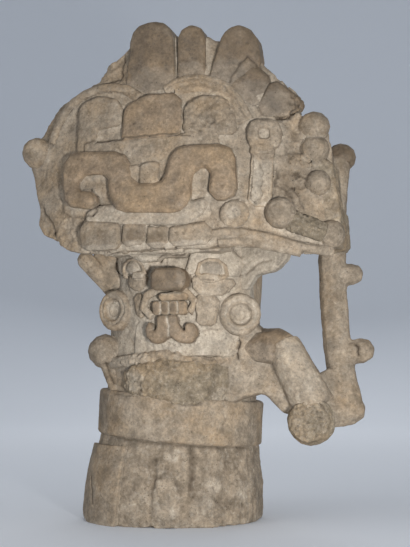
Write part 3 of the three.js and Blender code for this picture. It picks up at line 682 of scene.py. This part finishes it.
def worked_piece(node, finish_name, spacing, darkening=0.0, soil=0.0, **handling):
    """One lump of clay for a CAD node of that name, worked, finished and in place."""
    piece = even_skin(node, LUTED[: LUTED.index(node)], spacing, **handling)
    piece.data.materials.clear()
    piece.data.materials.append(finish(finish_name))
    for attribute, share in (("soil", soil), ("stain_and_shade", 0.0), ("darkening", darkening)):
        paint(piece, attribute, share)
    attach(piece, "root")
    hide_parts(node)
    return piece


def front_of(node):
    """The left, right, bottom and top of a CAD node as seen from the front, in millimetres."""
    low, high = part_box(node)
    return low[0] / MM, high[0] / MM, low[2] / MM, high[2] / MM


# The pieces. Places on the front are (x, z), and all lengths are in millimetres.

# The edge of the plate above the one eye, where it laps over the hair and the head, with painted shade
# along it
PLATE_EDGE = [(-22, 217), (-30.4, 213), (-41, 209.6), (-41.3, 206), (-38.8, 202.7), (-30, 197.5)]

# The upper edge of the bar across the brow, with painted shade along it
BAR_EDGE = [(-56.5, 294), (-56.5, 303.3), (-44, 304.6), (-19, 303.9), (2, 304.1), (14, 304.6), (34, 303.4)]

# The edge of the clay below the hooked end of the nose band
HOOK_EDGE = [
    (-46.2, 263.3), (-41.5, 257), (-40.2, 252.8), (-40.3, 245.8),
    (-43.7, 242.2), (-53.9, 241.6), (-56, 235.3),
]

# The open joint between the last lobe of the crest and the beads under it
LOBE_GAP = [(99, 315.5), (103.2, 316.7), (108.3, 317.6), (113, 323.4), (116.2, 327.2)]

# Where the sheet of clay that came down over the brow has lifted off
BROW_CRACK = [
    (4.9, 207), (7, 209.6), (13.2, 211.1), (26.2, 209.8),
    (28.1, 214.4), (32.4, 217.1), (39.6, 219.2),
]

# The broken edge of the slab beside the first lobe of the crest
TORN_EDGE = [(-52, 350), (-38, 355), (-29.3, 356), (-27.9, 359), (-26.5, 373), (-25.7, 378)]

# The grooves along the brow coils, and the edge of the crest's fourth lobe where it laps over the third
COIL_LINE = [(-86, 309), (-80, 323), (-72, 334), (-58, 342.5), (-41, 345), (-25, 342.5)]
COILS_LINE = [(13, 343), (22, 348), (40, 349.5), (57, 344), (68, 331), (76, 316)]
LOBE_LAP = [(62, 345), (65.7, 352), (70.3, 360), (77.3, 367), (83.2, 361), (87, 354)]

# Where soil lies over the feet of the crest's lobes: the middle and the reach of each patch
LOBE_FEET = [
    ((0, 347), (24, 14)),
    ((32, 352), (13, 14)),
    ((62, 350), (22, 16)),
    ((80, 334), (16, 14)),
    ((98, 326), (18, 12)),
]

# The crack at the slab's torn lower corner, the deep one between the bib and the arm, and the front of the
# staff, where soil lies
CORNER_CRACK = [(-98, 256), (-94.6, 250), (-84.6, 239), (-81.6, 230)]
ARM_CRACK = [(59.5, 150), (62.3, 143.5), (59.6, 137.7), (60.9, 131)]
STAFF_FRONT = [(141, 206), (142.5, 176), (143.5, 145), (148, 114), (150, 98)]


class URN_OT_vessel(bpy.types.Operator):
    """Make the cylinder and its floor"""

    bl_idname = "urn.vessel"
    bl_label = "Vessel"

    def execute(self, context):
        skin = context.scene.urn_sizes.vessel_skin
        stand(worked_piece("vessel_floor", "fired clay", skin, smoothing=2))
        wall = worked_piece("vessel_wall", "fired clay", skin, smoothing=2)
        patch(wall, (-38, 145), (16, 26), soil=0.5)
        pits(wall, count=60, size=2.5, depth=0.8, seed=1)
        return {"FINISHED"}


class URN_OT_foot(bpy.types.Operator):
    """Make the fluted foot, its smooth lap and the plain band above"""

    bl_idname = "urn.foot"
    bl_label = "Foot and band"

    def execute(self, context):
        sizes = context.scene.urn_sizes
        skirt = worked_piece("pedestal_skirt", "rooted clay", sizes.broad_skin, smoothing=3, grain=2.2)
        streaks(skirt, depth=0.6, across=5, along=11, stain_and_shade=0.25)
        # Two flutes, a broken slit and the seam under the band, with painted shade in the seam
        groove(skirt, [(-0.8, 52), (0.2, 37), (-1.5, 30)], width=2.0, depth=1.8, stain_and_shade=0.4)
        groove(skirt, [(26.7, 60), (27.5, 42), (28, 24)], width=2.0, depth=2.0, stain_and_shade=0.45)
        groove(skirt, [(43.2, 30), (44.4, 26)], width=0.8, depth=1.4, stain_and_shade=0.5)
        groove(skirt, [(44.2, 23), (45.8, 19)], width=0.8, depth=1.4, stain_and_shade=0.5)
        groove(skirt, [(-36, 68), (70, 59)], width=1.5, depth=0.5, stain_and_shade=0.6)
        # Two flakes that stand proud, and the chipped lower edge
        patch(skirt, (9, 22), (10, 20), soil=0.1, depth=-1.6)
        patch(skirt, (36, 14), (9, 9), soil=0.25, depth=-0.8)
        tear(skirt, (44, -52, 8), (22, 22, 9), depth=1.5)
        tear(skirt, (0, -56, 0), (80, 40, 5), depth=1.4, span=6)
        pits(skirt, count=170, size=1.5, depth=1.2, seed=2)
        stand(skirt)
        lap = worked_piece("pedestal_lap", "fired clay", sizes.fine_skin, smoothing=4)
        groove(lap, [(-62, 36), (-60, 27), (-57, 16)], width=0.8, depth=1.6, stain_and_shade=0.8)
        pits(lap, count=14, size=1.2, depth=0.7, seed=3)
        stand(lap)
        band = worked_piece("base_band", "fired clay", sizes.broad_skin, smoothing=4)
        # Fire stains, a chip in the upper edge and two cracks
        patch(band, (-56, 92), (10, 16), stain_and_shade=0.3)
        patch(band, (-40, 80), (9, 7), stain_and_shade=0.18)
        patch(band, (27, 96), (11, 2.2), stain_and_shade=0.55, depth=1.8)
        groove(band, [(-38, 103), (-28, 101), (-20, 102)], width=0.7, depth=1.0, stain_and_shade=0.6)
        groove(band, [(49, 90), (50.5, 84), (49.5, 79)], width=0.6, depth=0.5, stain_and_shade=0.3)
        pits(band, count=130, size=1.2, depth=0.8, seed=4)
        return {"FINISHED"}


class URN_OT_chest(bpy.types.Operator):
    """Make the broken chest and the roll above it"""

    bl_idname = "urn.chest"
    bl_label = "Chest"

    def execute(self, context):
        sizes = context.scene.urn_sizes
        scar = worked_piece("chest_scar", "broken core", sizes.fine_skin, grain=2.0)
        tear(scar, (14, -66, 111), (52, 22, 24), depth=1.8, span=5.5, stain_and_shade=0.35)
        patch(scar, (-19, 113), (8, 9), soil=0.4)
        patch(scar, (50, 101), (9, 7), soil=0.4)
        pits(scar, count=60, size=1.6, depth=1.4, seed=5)
        roll = worked_piece("shoulder_roll", "fired clay", sizes.fine_skin, smoothing=10, grain=2.4)
        tear(roll, (20, -66, 127), (70, 20, 12), depth=1.6, span=4.5, stain_and_shade=0.15)
        patch(roll, (-30, 131), (24, 12), soil=0.45)
        pits(roll, count=40, size=1.2, depth=1.0, seed=6)
        return {"FINISHED"}


class URN_OT_head(bpy.types.Operator):
    """Make the head mass with the bib below the face"""

    bl_idname = "urn.head"
    bl_label = "Head"

    def execute(self, context):
        sizes = context.scene.urn_sizes
        head = worked_piece("head_block", "soil-bound clay", sizes.face_skin, smoothing=8)
        features = LUTED[LUTED.index("mouth_frame") : LUTED.index("headdress_slab")]
        # Clay and soil banked against the features, with painted shade on their upper left side
        bank(head, features, height=1.4, reach=2.4, dark_share=0.6)
        # The brow's lifted edge, the line above the nose and two cracks beside the tongue
        groove(head, BROW_CRACK, width=0.7, depth=1.5, stain_and_shade=0.9)
        # A groove along the eye plate's edge, with painted shade in it
        groove(head, PLATE_EDGE, width=0.9, depth=1.2, stain_and_shade=0.8)
        groove(head, [(10, 211), (10.3, 204), (9.5, 200)], width=0.7, depth=0.8, stain_and_shade=0.3)
        groove(head, [(36, 151), (43, 153.5), (51, 154)], width=0.6, depth=0.6, stain_and_shade=0.25)
        groove(head, [(-15, 160), (-19, 157), (-20, 150)], width=0.7, depth=0.6, stain_and_shade=0.2)
        tear(head, (8, -80, 144), (48, 20, 8), depth=1.2, span=4, stain_and_shade=0.12)
        pits(head, count=120, size=1.0, depth=0.9, seed=7)
        return {"FINISHED"}


class URN_OT_mouth(bpy.types.Operator):
    """Make the nose, the lip, the teeth, the mouth's frame and the forked tongue"""

    bl_idname = "urn.mouth"
    bl_label = "Nose and mouth"

    def execute(self, context):
        skin = context.scene.urn_sizes.face_skin
        worked_piece("mouth_frame", "fired clay", skin, smoothing=9, hand=0.6)
        nose = worked_piece(
            "nose_block", "rubbed slip", skin, smoothing=3, hand=0.5, grain=0.7, darkening=0.28
        )
        patch(nose, (15, 193), (16, 10), stain_and_shade=0.16)
        patch(nose, (28, 193), (5, 9), soil=0.3)
        pits(nose, count=8, size=0.8, depth=0.6, seed=8)
        worked_piece("upper_lip", "rubbed slip", skin, smoothing=4, hand=0.5)
        teeth = worked_piece("tooth_row", "rubbed slip", skin, smoothing=5, hand=0.4, grain=0.7)
        left, right, bottom, top = front_of("tooth_row")
        tooth_stains = (0.25, 0.55, 0.5, 0.2)
        width = (right - left) / len(tooth_stains)
        for i, stain_and_shade in enumerate(tooth_stains):
            middle = left + (i + 0.5) * width
            patch(teeth, (middle, (bottom + top) / 2), (2.4, 3.6), stain_and_shade=stain_and_shade)
            if i:
                gap = left + i * width
                groove(teeth, [(gap, top), (gap, bottom)], width=0.7, depth=1.3, soil=0.6)
        tongue = worked_piece("tongue", "rubbed slip", skin, smoothing=5, hand=0.4, grain=0.7)
        groove(tongue, [(12.8, 163), (13.6, 155), (14, 148)], width=0.9, depth=1.5, soil=0.9)
        return {"FINISHED"}


class URN_OT_features(bpy.types.Operator):
    """Make the eyes, the plates round them, the cheeks and the ear discs"""

    bl_idname = "urn.features"
    bl_label = "Eyes and ears"

    def execute(self, context):
        skin = context.scene.urn_sizes.face_skin
        brown_domes = {"left": ((-19, 203.5), (6.5, 5.5)), "right": ((45.2, 201), (7, 5.5))}
        pellets = {"left": (-14, 194.5), "right": (43.5, 192.5)}
        ears = {"left": (-40.5, 170.5), "right": (65.5, 165.5)}
        paler = {"left": 0.05, "right": 0.25}
        upper_soil = {"left": 0.6, "right": 0.75}
        dome_stain = {"left": 0.05, "right": 0.25}
        ear_wear = {"left": {"darkening": 0.07}, "right": {"soil": 0.2}}
        ear_middle_soil = {"left": 0.55, "right": 0.2}
        for place, plate_soil in (("upper", upper_soil), ("lower", paler)):
            for side in ("left", "right"):
                name = f"{place}_eye_plate_{side}"
                plate = worked_piece(
                    name, "fired clay", skin, soil=plate_soil[side], smoothing=5, hand=0.6
                )
                if place == "upper":
                    centre, reach = brown_domes[side]
                    dome(plate, centre, reach, height=2.6)
                    patch(plate, centre, reach, stain_and_shade=dome_stain[side])
                pits(plate, count=10, size=0.9, depth=0.6, seed=16)
        for side in ("left", "right"):
            eye = worked_piece(f"eye_{side}", "fired clay", skin, smoothing=6, hand=0.5)
            patch(eye, pellets[side], (8, 4), soil=0.35)
            x, z = pellets[side]
            groove(eye, [(x - 5, z - 1), (x + 4, z)], width=0.5, depth=0.7, stain_and_shade=0.5)
            cheek_soil = paler[side] / 2
            worked_piece(
                f"cheek_plate_{side}", "fired clay", skin, soil=cheek_soil, smoothing=5, hand=0.6
            )
            ear = worked_piece(f"ear_disc_{side}", "fired clay", skin, smoothing=6, **ear_wear[side])
            groove(ear, ring(ears[side], 11.3), width=0.9, depth=0.8, soil=0.35)
            patch(ear, ears[side], (7.5, 7.5), soil=ear_middle_soil[side])
            pits(ear, count=12, size=0.9, depth=0.6, seed=9)
        return {"FINISHED"}


class URN_OT_headdress(bpy.types.Operator):
    """Make the headdress slab and the block that carries it"""

    bl_idname = "urn.headdress"
    bl_label = "Headdress slab"

    def execute(self, context):
        skin = context.scene.urn_sizes.slab_skin
        slab = worked_piece("headdress_slab", "fired clay", skin, smoothing=6, hand=1.4)
        reliefs = LUTED[LUTED.index("volute_band") : LUTED.index("hair_left")]
        # Clay and soil banked against the reliefs, with painted shade on their upper left side
        bank(slab, reliefs, height=2.6, reach=4.0, dark_share=0.75)
        # Swellings inside the nose band's hooks, and the torn edges
        dome(slab, (-46, 269), (17, 12), height=4.5)
        dome(slab, (45, 266), (11, 13), height=4.5)
        tear(slab, (-38, -76, 356), (26, 20, 22), depth=1.8, span=9, stain_and_shade=0.2)
        tear(slab, (118, -66, 290), (13, 16, 24), depth=2.4, span=6, stain_and_shade=0.35)
        tear(slab, (-70, -86, 231), (20, 16, 15), depth=1.8, span=7)
        tear(slab, (118, -60, 325), (14, 20, 14), depth=2.0, span=5, stain_and_shade=0.25)
        tear(slab, (116, -75, 262), (16, 12, 22), depth=1.2, span=5, stain_and_shade=0.3)
        # The wing: a rough ridge over a hollow plate, and two wedge marks below
        dome(slab, (118, 282), (20, 6), height=2.5)
        patch(slab, (110, 266), (12, 8), stain_and_shade=0.12, depth=1.8)
        patch(slab, (116, 275), (20, 28), stain_and_shade=0.2)
        groove(slab, [(100.6, 274), (99.3, 264), (98.1, 254)], width=1.0, depth=1.5, stain_and_shade=0.3)
        groove(slab, [(106.6, 259), (111, 252), (114, 244)], width=1.0, depth=2.0, stain_and_shade=0.25)
        groove(slab, [(110.9, 261), (116.7, 253.6), (119.6, 246)], width=1.0, depth=2.0, stain_and_shade=0.25)
        # Cracks at the torn lower corner, and a score under the nose band with painted shade in it
        groove(slab, CORNER_CRACK, width=0.9, depth=1.6, stain_and_shade=0.7)
        groove(slab, [(-78.6, 261), (-76, 249), (-66, 244), (-57, 243)], width=1.0, depth=1.2, stain_and_shade=0.4)
        groove(slab, [(52, 248), (51.8, 244), (52.8, 239)], width=0.8, depth=1.0, stain_and_shade=0.4)
        # Seams that run on from the reliefs, and the broken edge beside the crest
        groove(slab, HOOK_EDGE, width=0.9, depth=1.4, stain_and_shade=0.7)
        # Painted shade along the bar's upper edge
        groove(slab, BAR_EDGE, width=0.9, depth=1.0, stain_and_shade=0.6)
        groove(slab, LOBE_GAP, width=1.4, depth=2.0, stain_and_shade=0.9)
        groove(slab, TORN_EDGE, width=0.9, depth=1.3, stain_and_shade=0.8)
        # The lower edge is worn away and soil lies over it
        tear(slab, (0, -84, 215), (54, 10, 4), depth=1.8, span=6)
        patch(slab, (0, 215), (50, 4), soil=0.5)
        pits(slab, count=220, size=1.5, depth=1.0, seed=10)
        backing = worked_piece("headdress_backing", "soil-bound clay", skin, smoothing=3, hand=0.5)
        # Clay smeared up to the slab's lower edge
        groove(backing, [(-46, 213.5), (38, 213.8)], width=2.6, depth=-1.8, soil=0.4)
        groove(backing, BROW_CRACK, width=0.7, depth=1.0, stain_and_shade=0.8)
        # A groove along the eye plate's edge, with painted shade in it
        groove(backing, PLATE_EDGE, width=0.9, depth=1.3, stain_and_shade=0.8)
        pits(backing, count=60, size=1.4, depth=0.8, seed=11)
        return {"FINISHED"}


class URN_OT_reliefs(bpy.types.Operator):
    """Make the reliefs on the slab: nose band, brow bar, panels, ledge, fangs, bosses and coils"""

    bl_idname = "urn.reliefs"
    bl_label = "Reliefs"

    def execute(self, context):
        skin = context.scene.urn_sizes.fine_skin
        band = worked_piece("volute_band", "rubbed slip", skin, smoothing=10, grain=1.3)
        groove(band, HOOK_EDGE, width=0.8, depth=0.8, stain_and_shade=0.4)
        pits(band, count=90, size=1.1, depth=0.8, seed=12)
        first = worked_piece("forehead_panel_1", "fired clay", skin, darkening=0.06, smoothing=6, grain=1.3)
        bar = worked_piece("brow_bar", "fired clay", skin, smoothing=6, grain=1.3)
        panel = worked_piece("forehead_panel_2", "rubbed slip", skin, smoothing=8, grain=1.3)
        for lump in (first, bar, panel):
            # Painted shade along the bar's upper edge
            groove(lump, BAR_EDGE, width=0.9, depth=1.0, stain_and_shade=0.7)
            pits(lump, count=16, size=1.0, depth=0.7, seed=13)
        swirl = worked_piece("forehead_panel_3", "fired clay", skin, darkening=0.1, smoothing=6, grain=1.4)
        tear(swirl, (48, -86, 319), (24, 14, 18), depth=1.1, span=3.5, stain_and_shade=0.15)
        groove(swirl, [(40, 306), (47, 303), (54, 306), (57, 312)], width=0.9, depth=0.9, stain_and_shade=0.2)
        groove(swirl, [(43, 313), (49, 309), (53, 314), (50, 321)], width=0.9, depth=0.9, stain_and_shade=0.2)
        ledge = worked_piece("lip_ledge", "fired clay", skin, soil=0.45, smoothing=7)
        groove(ledge, HOOK_EDGE, width=0.9, depth=1.2, stain_and_shade=0.6)
        pits(ledge, count=20, size=1.0, depth=0.7, seed=15)
        for number, stain_and_shade, darkening in ((1, 0.1, 0.13), (2, 0.35, 0.1), (3, 0.4, 0.1), (4, 0.12, 0.0)):
            name = f"fang_{number}"
            fang = worked_piece(name, "fired clay", skin, darkening=darkening, smoothing=6, grain=1.6)
            left, right, bottom, top = front_of(name)
            middle = (left + right) / 2
            patch(fang, (middle, (bottom + top) / 2), (6, 5), stain_and_shade=stain_and_shade)
            patch(fang, (middle, bottom + 1.5), ((right - left) / 2 + 2, 3), soil=0.5)
            pits(fang, count=10, size=1.2, depth=0.8, seed=20 + number)
        boss = worked_piece("square_boss", "fired clay", skin, smoothing=5)
        patch(boss, (91, 302.5), (4.6, 4.6), soil=0.35)
        # The tab below is worn down, most on its one side, and the boss overhangs it
        dome(boss, (91, 289), (12, 4.5), height=2.0)
        groove(boss, [(79, 284.5), (103, 284.5)], width=1.3, depth=1.8)
        patch(boss, (84, 263), (6, 20), soil=0.35, depth=2.6)
        patch(boss, (91, 262), (12, 22), soil=0.35, depth=1.4)
        pits(boss, count=24, size=1.1, depth=0.7, seed=14)
        disc = worked_piece("round_boss", "fired clay", skin, smoothing=5)
        patch(disc, (70, 240), (5, 5), soil=0.5, depth=0.8)
        coil = worked_piece("brow_coil_left", "fired clay", skin, smoothing=12)
        groove(coil, COIL_LINE, width=1.0, depth=1.4, stain_and_shade=0.3)
        coils = worked_piece("brow_coils_right", "fired clay", skin, smoothing=10)
        groove(coils, COILS_LINE, width=0.9, depth=1.2, stain_and_shade=0.2)
        return {"FINISHED"}


class URN_OT_crest(bpy.types.Operator):
    """Make the five lobes of the crest"""

    bl_idname = "urn.crest"
    bl_label = "Crest"

    def execute(self, context):
        skin = context.scene.urn_sizes.fine_skin
        names = [f"crest_lobe_{number}" for number in range(1, 6)]
        lobes = [worked_piece(name, "rubbed slip", skin, smoothing=12, darkening=0.26) for name in names]
        patch(lobes[0], (-2, 384), (19, 17), stain_and_shade=0.2)
        patch(lobes[1], (32, 386), (10, 14), stain_and_shade=0.12)
        patch(lobes[2], (68, 378), (18, 18), stain_and_shade=0.2)
        patch(lobes[3], (82, 350), (14, 14), stain_and_shade=0.12)
        patch(lobes[4], (102, 337), (18, 14), stain_and_shade=0.25)
        for lobe, (centre, reach) in zip(lobes, LOBE_FEET):
            patch(lobe, centre, reach, soil=0.3)
        groove(lobes[2], LOBE_LAP, width=0.9, depth=1.2, stain_and_shade=0.7)
        groove(lobes[4], LOBE_GAP, width=1.4, depth=2.0, stain_and_shade=0.9)
        tear(lobes[4], (115, -63, 326), (10, 12, 12), depth=2.0, span=3, stain_and_shade=0.3)
        for seed, lobe in enumerate(lobes):
            pits(lobe, count=22, size=1.1, depth=0.7, seed=30 + seed)
        return {"FINISHED"}


class URN_OT_wings(bpy.types.Operator):
    """Make the beads, knobs, broken roll and hem of the wings, and the hair under them"""

    bl_idname = "urn.wings"
    bl_label = "Wings and hair"

    def execute(self, context):
        sizes = context.scene.urn_sizes
        skin = sizes.fine_skin
        knob = worked_piece("knob_left", "fired clay", skin, grain=1.3)
        patch(knob, (-106, 307), (6, 6), soil=0.2)
        for seed, name in enumerate(("bead_lower_inner", "bead_lower_outer", "bead_middle", "bead_pair")):
            bead = worked_piece(name, "fired clay", skin, darkening=0.1, grain=1.3)
            pits(bead, count=9, size=1.1, depth=0.9, seed=40 + seed)
            if name == "bead_pair":
                groove(bead, [(114, 303), (127, 300.2), (136, 302.2)], width=1.1, depth=0.4, soil=0.5)
        roll = worked_piece("wing_roll", "broken core", skin, darkening=0.22, grain=1.6)
        tear(roll, (121, -81, 233), (18, 14, 12), depth=1.6)
        worked_piece("wing_hem", "fired clay", skin, darkening=0.08, smoothing=9)
        plate = worked_piece("hair_left", "fired clay", skin, smoothing=6)
        # A groove along the eye plate's edge, with painted shade in it
        groove(plate, PLATE_EDGE, width=1.0, depth=1.4, stain_and_shade=0.9)
        hair = worked_piece("hair_right", "fired clay", skin, soil=0.85, smoothing=5)
        groove(hair, [(67, 198), (73, 203), (79, 206), (90, 208)], width=1.0, depth=1.3, stain_and_shade=0.2)
        groove(hair, [(80, 196), (90, 199), (98, 205)], width=1.0, depth=1.0)
        return {"FINISHED"}


class URN_OT_limbs(bpy.types.Operator):
    """Make the shoulders, the arm with its broken elbow, and the staff"""

    bl_idname = "urn.limbs"
    bl_label = "Arm and staff"

    def execute(self, context):
        sizes = context.scene.urn_sizes
        limb_skin = 0.85 * sizes.broad_skin
        cap = worked_piece("shoulder_cap", "rubbed slip", sizes.fine_skin, smoothing=26, darkening=0.14)
        patch(cap, (76, 131), (19, 13), soil=0.35)
        pits(cap, count=14, size=1.2, depth=0.8, seed=50)
        arm = worked_piece("upper_arm", "fired clay", limb_skin, smoothing=60, grain=1.3)
        groove(arm, ARM_CRACK, width=0.9, depth=2.4, stain_and_shade=1.0)
        patch(arm, (109, 118), (17, 30), soil=0.3)
        patch(arm, (88, 122), (48, 40), soil=0.18)
        pits(arm, count=30, size=1.3, depth=0.8, seed=51)
        stump = worked_piece("arm_stump", "broken core", sizes.fine_skin, grain=1.6)
        tear(stump, (124, -66, 83), (19, 9, 19), depth=2.6, span=2.8, stain_and_shade=0.5)
        groove(stump, ring((119.5, 82.5), 16.5), width=1.0, depth=0.7, stain_and_shade=0.45)
        staff = worked_piece("side_staff", "fired clay", limb_skin, darkening=0.13, hand=1.3, grain=1.4)
        # A crack at the lower knob, and soil down the front
        groove(staff, [(153, 142), (155.3, 138), (156, 132)], width=0.9, depth=2.0, stain_and_shade=1.0)
        groove(staff, STAFF_FRONT, width=4.5, depth=0, soil=0.15)
        pits(staff, count=70, size=1.3, depth=0.9, seed=52)
        ball = worked_piece("staff_ball", "rubbed slip", sizes.fine_skin, darkening=0.38)
        pits(ball, count=8, size=1.0, depth=0.7, seed=53)
        web = worked_piece("staff_web_upper", "broken core", sizes.fine_skin, grain=1.6)
        tear(web, (130, -45, 250), (25, 40, 48), depth=0.9, span=6)
        for z in (271, 246, 212):
            patch(web, (143, z), (3.2, 6), stain_and_shade=0.3, depth=-0.7)
        patch(web, (137, 240), (8, 30), soil=0.25)
        shoulder = worked_piece(
            "shoulder_ball_left", "fired clay", sizes.fine_skin, darkening=0.15, grain=1.8
        )
        groove(shoulder, [(-50, 127), (-45.5, 118), (-42, 112)], width=0.9, depth=1.4, stain_and_shade=0.7)
        pits(shoulder, count=16, size=1.2, depth=1.0, seed=54)
        return {"FINISHED"}


# Stage

# The sweep's sizes in metres, and the point that the camera and the lights look at
STAGE_RADIUS = 3.0
STAGE_CURVE = 1.2
TARGET = Vector((19.2, 5.5, 205)) * MM

# A cool, dim studio all round
ROOM_COLOUR = (0.93, 0.96, 1.0, 1)
ROOM_STRENGTH = 0.38

# The longer side of the camera's sensor in millimetres, and where its view begins in metres
SENSOR_SIDE = 36
VIEW_START = 0.05


class URN_OT_stage(bpy.types.Operator):
    """Make the sweep, the lights and the camera"""

    bl_idname = "urn.stage"
    bl_label = "Stage"

    def execute(self, context):
        stage = context.scene.urn_stage
        self.sweep(stage)
        # The key light stands low and near the camera; two broad ones soften its shadows
        self.lamp("Key light", azimuth=28, elevation=-10, distance=0.8, size=0.06, power=1.6, spread=100)
        self.lamp("Fill light", azimuth=-40, elevation=20, distance=1.8, size=1.2, power=4.6, spread=180)
        self.lamp(
            "Back fill light", azimuth=190, elevation=35, distance=2.2, size=1.6, power=9.0, spread=180
        )
        world = bpy.data.worlds.new("Studio")
        world.use_nodes = True
        room = world.node_tree.nodes["Background"]
        room.inputs["Color"].default_value = ROOM_COLOUR
        room.inputs["Strength"].default_value = ROOM_STRENGTH
        context.scene.world = world
        self.camera(context, stage)
        context.scene.view_settings.view_transform = "Standard"
        return {"FINISHED"}

    def sweep(self, stage):
        """A round floor that curves up all about into a low wall, with its faces turned inward."""
        bowl = bmesh.new()
        level = STAGE_RADIUS - STAGE_CURVE
        profile = [bowl.verts.new((0, 0, 0)), bowl.verts.new((level, 0, 0))]
        steps = 12
        for step in range(1, steps + 1):
            turn = step / steps * math.pi / 2
            rise = STAGE_CURVE * (1 - math.cos(turn))
            profile.append(bowl.verts.new((level + STAGE_CURVE * math.sin(turn), 0, rise)))
        profile.append(bowl.verts.new((STAGE_RADIUS, 0, 2 * STAGE_CURVE)))
        edges = [bowl.edges.new(pair) for pair in zip(profile[:-1], profile[1:])]
        bmesh.ops.spin(
            bowl,
            geom=profile + edges,
            cent=(0, 0, 0),
            axis=(0, 0, 1),
            angle=2 * math.pi,
            steps=96,
            use_merge=True,
        )
        bmesh.ops.remove_doubles(bowl, verts=bowl.verts, dist=WELD)
        bmesh.ops.recalc_face_normals(bowl, faces=bowl.faces)
        bmesh.ops.reverse_faces(bowl, faces=bowl.faces)
        mesh = bpy.data.meshes.new("studio_sweep")
        bowl.to_mesh(mesh)
        bowl.free()
        mesh.shade_smooth()
        sweep = bpy.data.objects.new("studio_sweep", mesh)
        bpy.context.scene.collection.objects.link(sweep)
        # Matt background paper, pale so that the urn's outline stays plain against it
        paper = bpy.data.materials.new("matt background paper")
        paper.use_nodes = True
        paper.node_tree.nodes.clear()
        shader = add(
            paper.node_tree,
            "ShaderNodeBsdfPrincipled",
            {"Base Color": (*stage.floor, 1), "Roughness": 0.95},
        )
        add(paper.node_tree, "ShaderNodeOutputMaterial", {"Surface": shader.outputs[0]})
        mesh.materials.append(paper)

    def lamp(self, name, azimuth, elevation, distance, size, power, spread):
        """A square light turned to the urn's middle. Angles are in degrees, lengths in metres."""
        light = bpy.data.lights.new(name, "AREA")
        light.shape = "SQUARE"
        light.size = size
        light.energy = power
        light.spread = math.radians(spread)
        lamp = bpy.data.objects.new(name, light)
        bpy.context.scene.collection.objects.link(lamp)
        out = bearing(math.radians(azimuth), math.radians(elevation))
        lamp.location = TARGET + out * distance
        lamp.rotation_euler = (-out).to_track_quat("-Z", "Y").to_euler()

    def camera(self, context, stage):
        """The camera at the photograph's angle."""
        data = bpy.data.cameras.new("Portrait camera")
        data.lens = stage.lens
        data.sensor_width = SENSOR_SIDE
        data.clip_start = VIEW_START
        camera = bpy.data.objects.new("Portrait camera", data)
        context.scene.collection.objects.link(camera)
        out = bearing(stage.azimuth, stage.elevation)
        camera.location = TARGET + out * stage.distance
        camera.rotation_euler = (-out).to_track_quat("-Z", "Y").to_euler()
        context.scene.camera = camera


def bearing(azimuth, elevation):
    """The direction from the urn to a point round it: azimuth 0 is in front, and positive to its left."""
    level = math.cos(elevation)
    return Vector((math.sin(azimuth) * level, -math.cos(azimuth) * level, math.sin(elevation)))


STEPS = [
    URN_OT_vessel,
    URN_OT_foot,
    URN_OT_chest,
    URN_OT_head,
    URN_OT_mouth,
    URN_OT_features,
    URN_OT_headdress,
    URN_OT_reliefs,
    URN_OT_crest,
    URN_OT_wings,
    URN_OT_limbs,
    URN_OT_stage,
]


class URN_PT_panel(bpy.types.Panel):
    """Lists the urn's making in order"""

    bl_idname = "URN_PT_panel"
    bl_label = "Effigy Urn"
    bl_space_type = "VIEW_3D"
    bl_region_type = "UI"
    bl_category = "Effigy Urn"

    def draw(self, context):
        for settings in (context.scene.urn_sizes, context.scene.urn_colours, context.scene.urn_stage):
            box = self.layout.box()
            for name in settings.__annotations__:
                box.prop(settings, name)
        for step in STEPS:
            self.layout.operator(step.bl_idname)


SETTINGS = {"urn_sizes": UrnSizes, "urn_colours": UrnColours, "urn_stage": UrnStage}


def register():
    for kind in [*SETTINGS.values(), *STEPS, URN_PT_panel]:
        bpy.utils.register_class(kind)
    for name, kind in SETTINGS.items():
        setattr(bpy.types.Scene, name, bpy.props.PointerProperty(type=kind))


def unregister():
    for name in SETTINGS:
        delattr(bpy.types.Scene, name)
    for kind in reversed([*SETTINGS.values(), *STEPS, URN_PT_panel]):
        bpy.utils.unregister_class(kind)


def main():
    register()
    for step in STEPS:
        family, verb = step.bl_idname.split(".")
        getattr(getattr(bpy.ops, family), verb)()


if __name__ == "__main__":
    main()
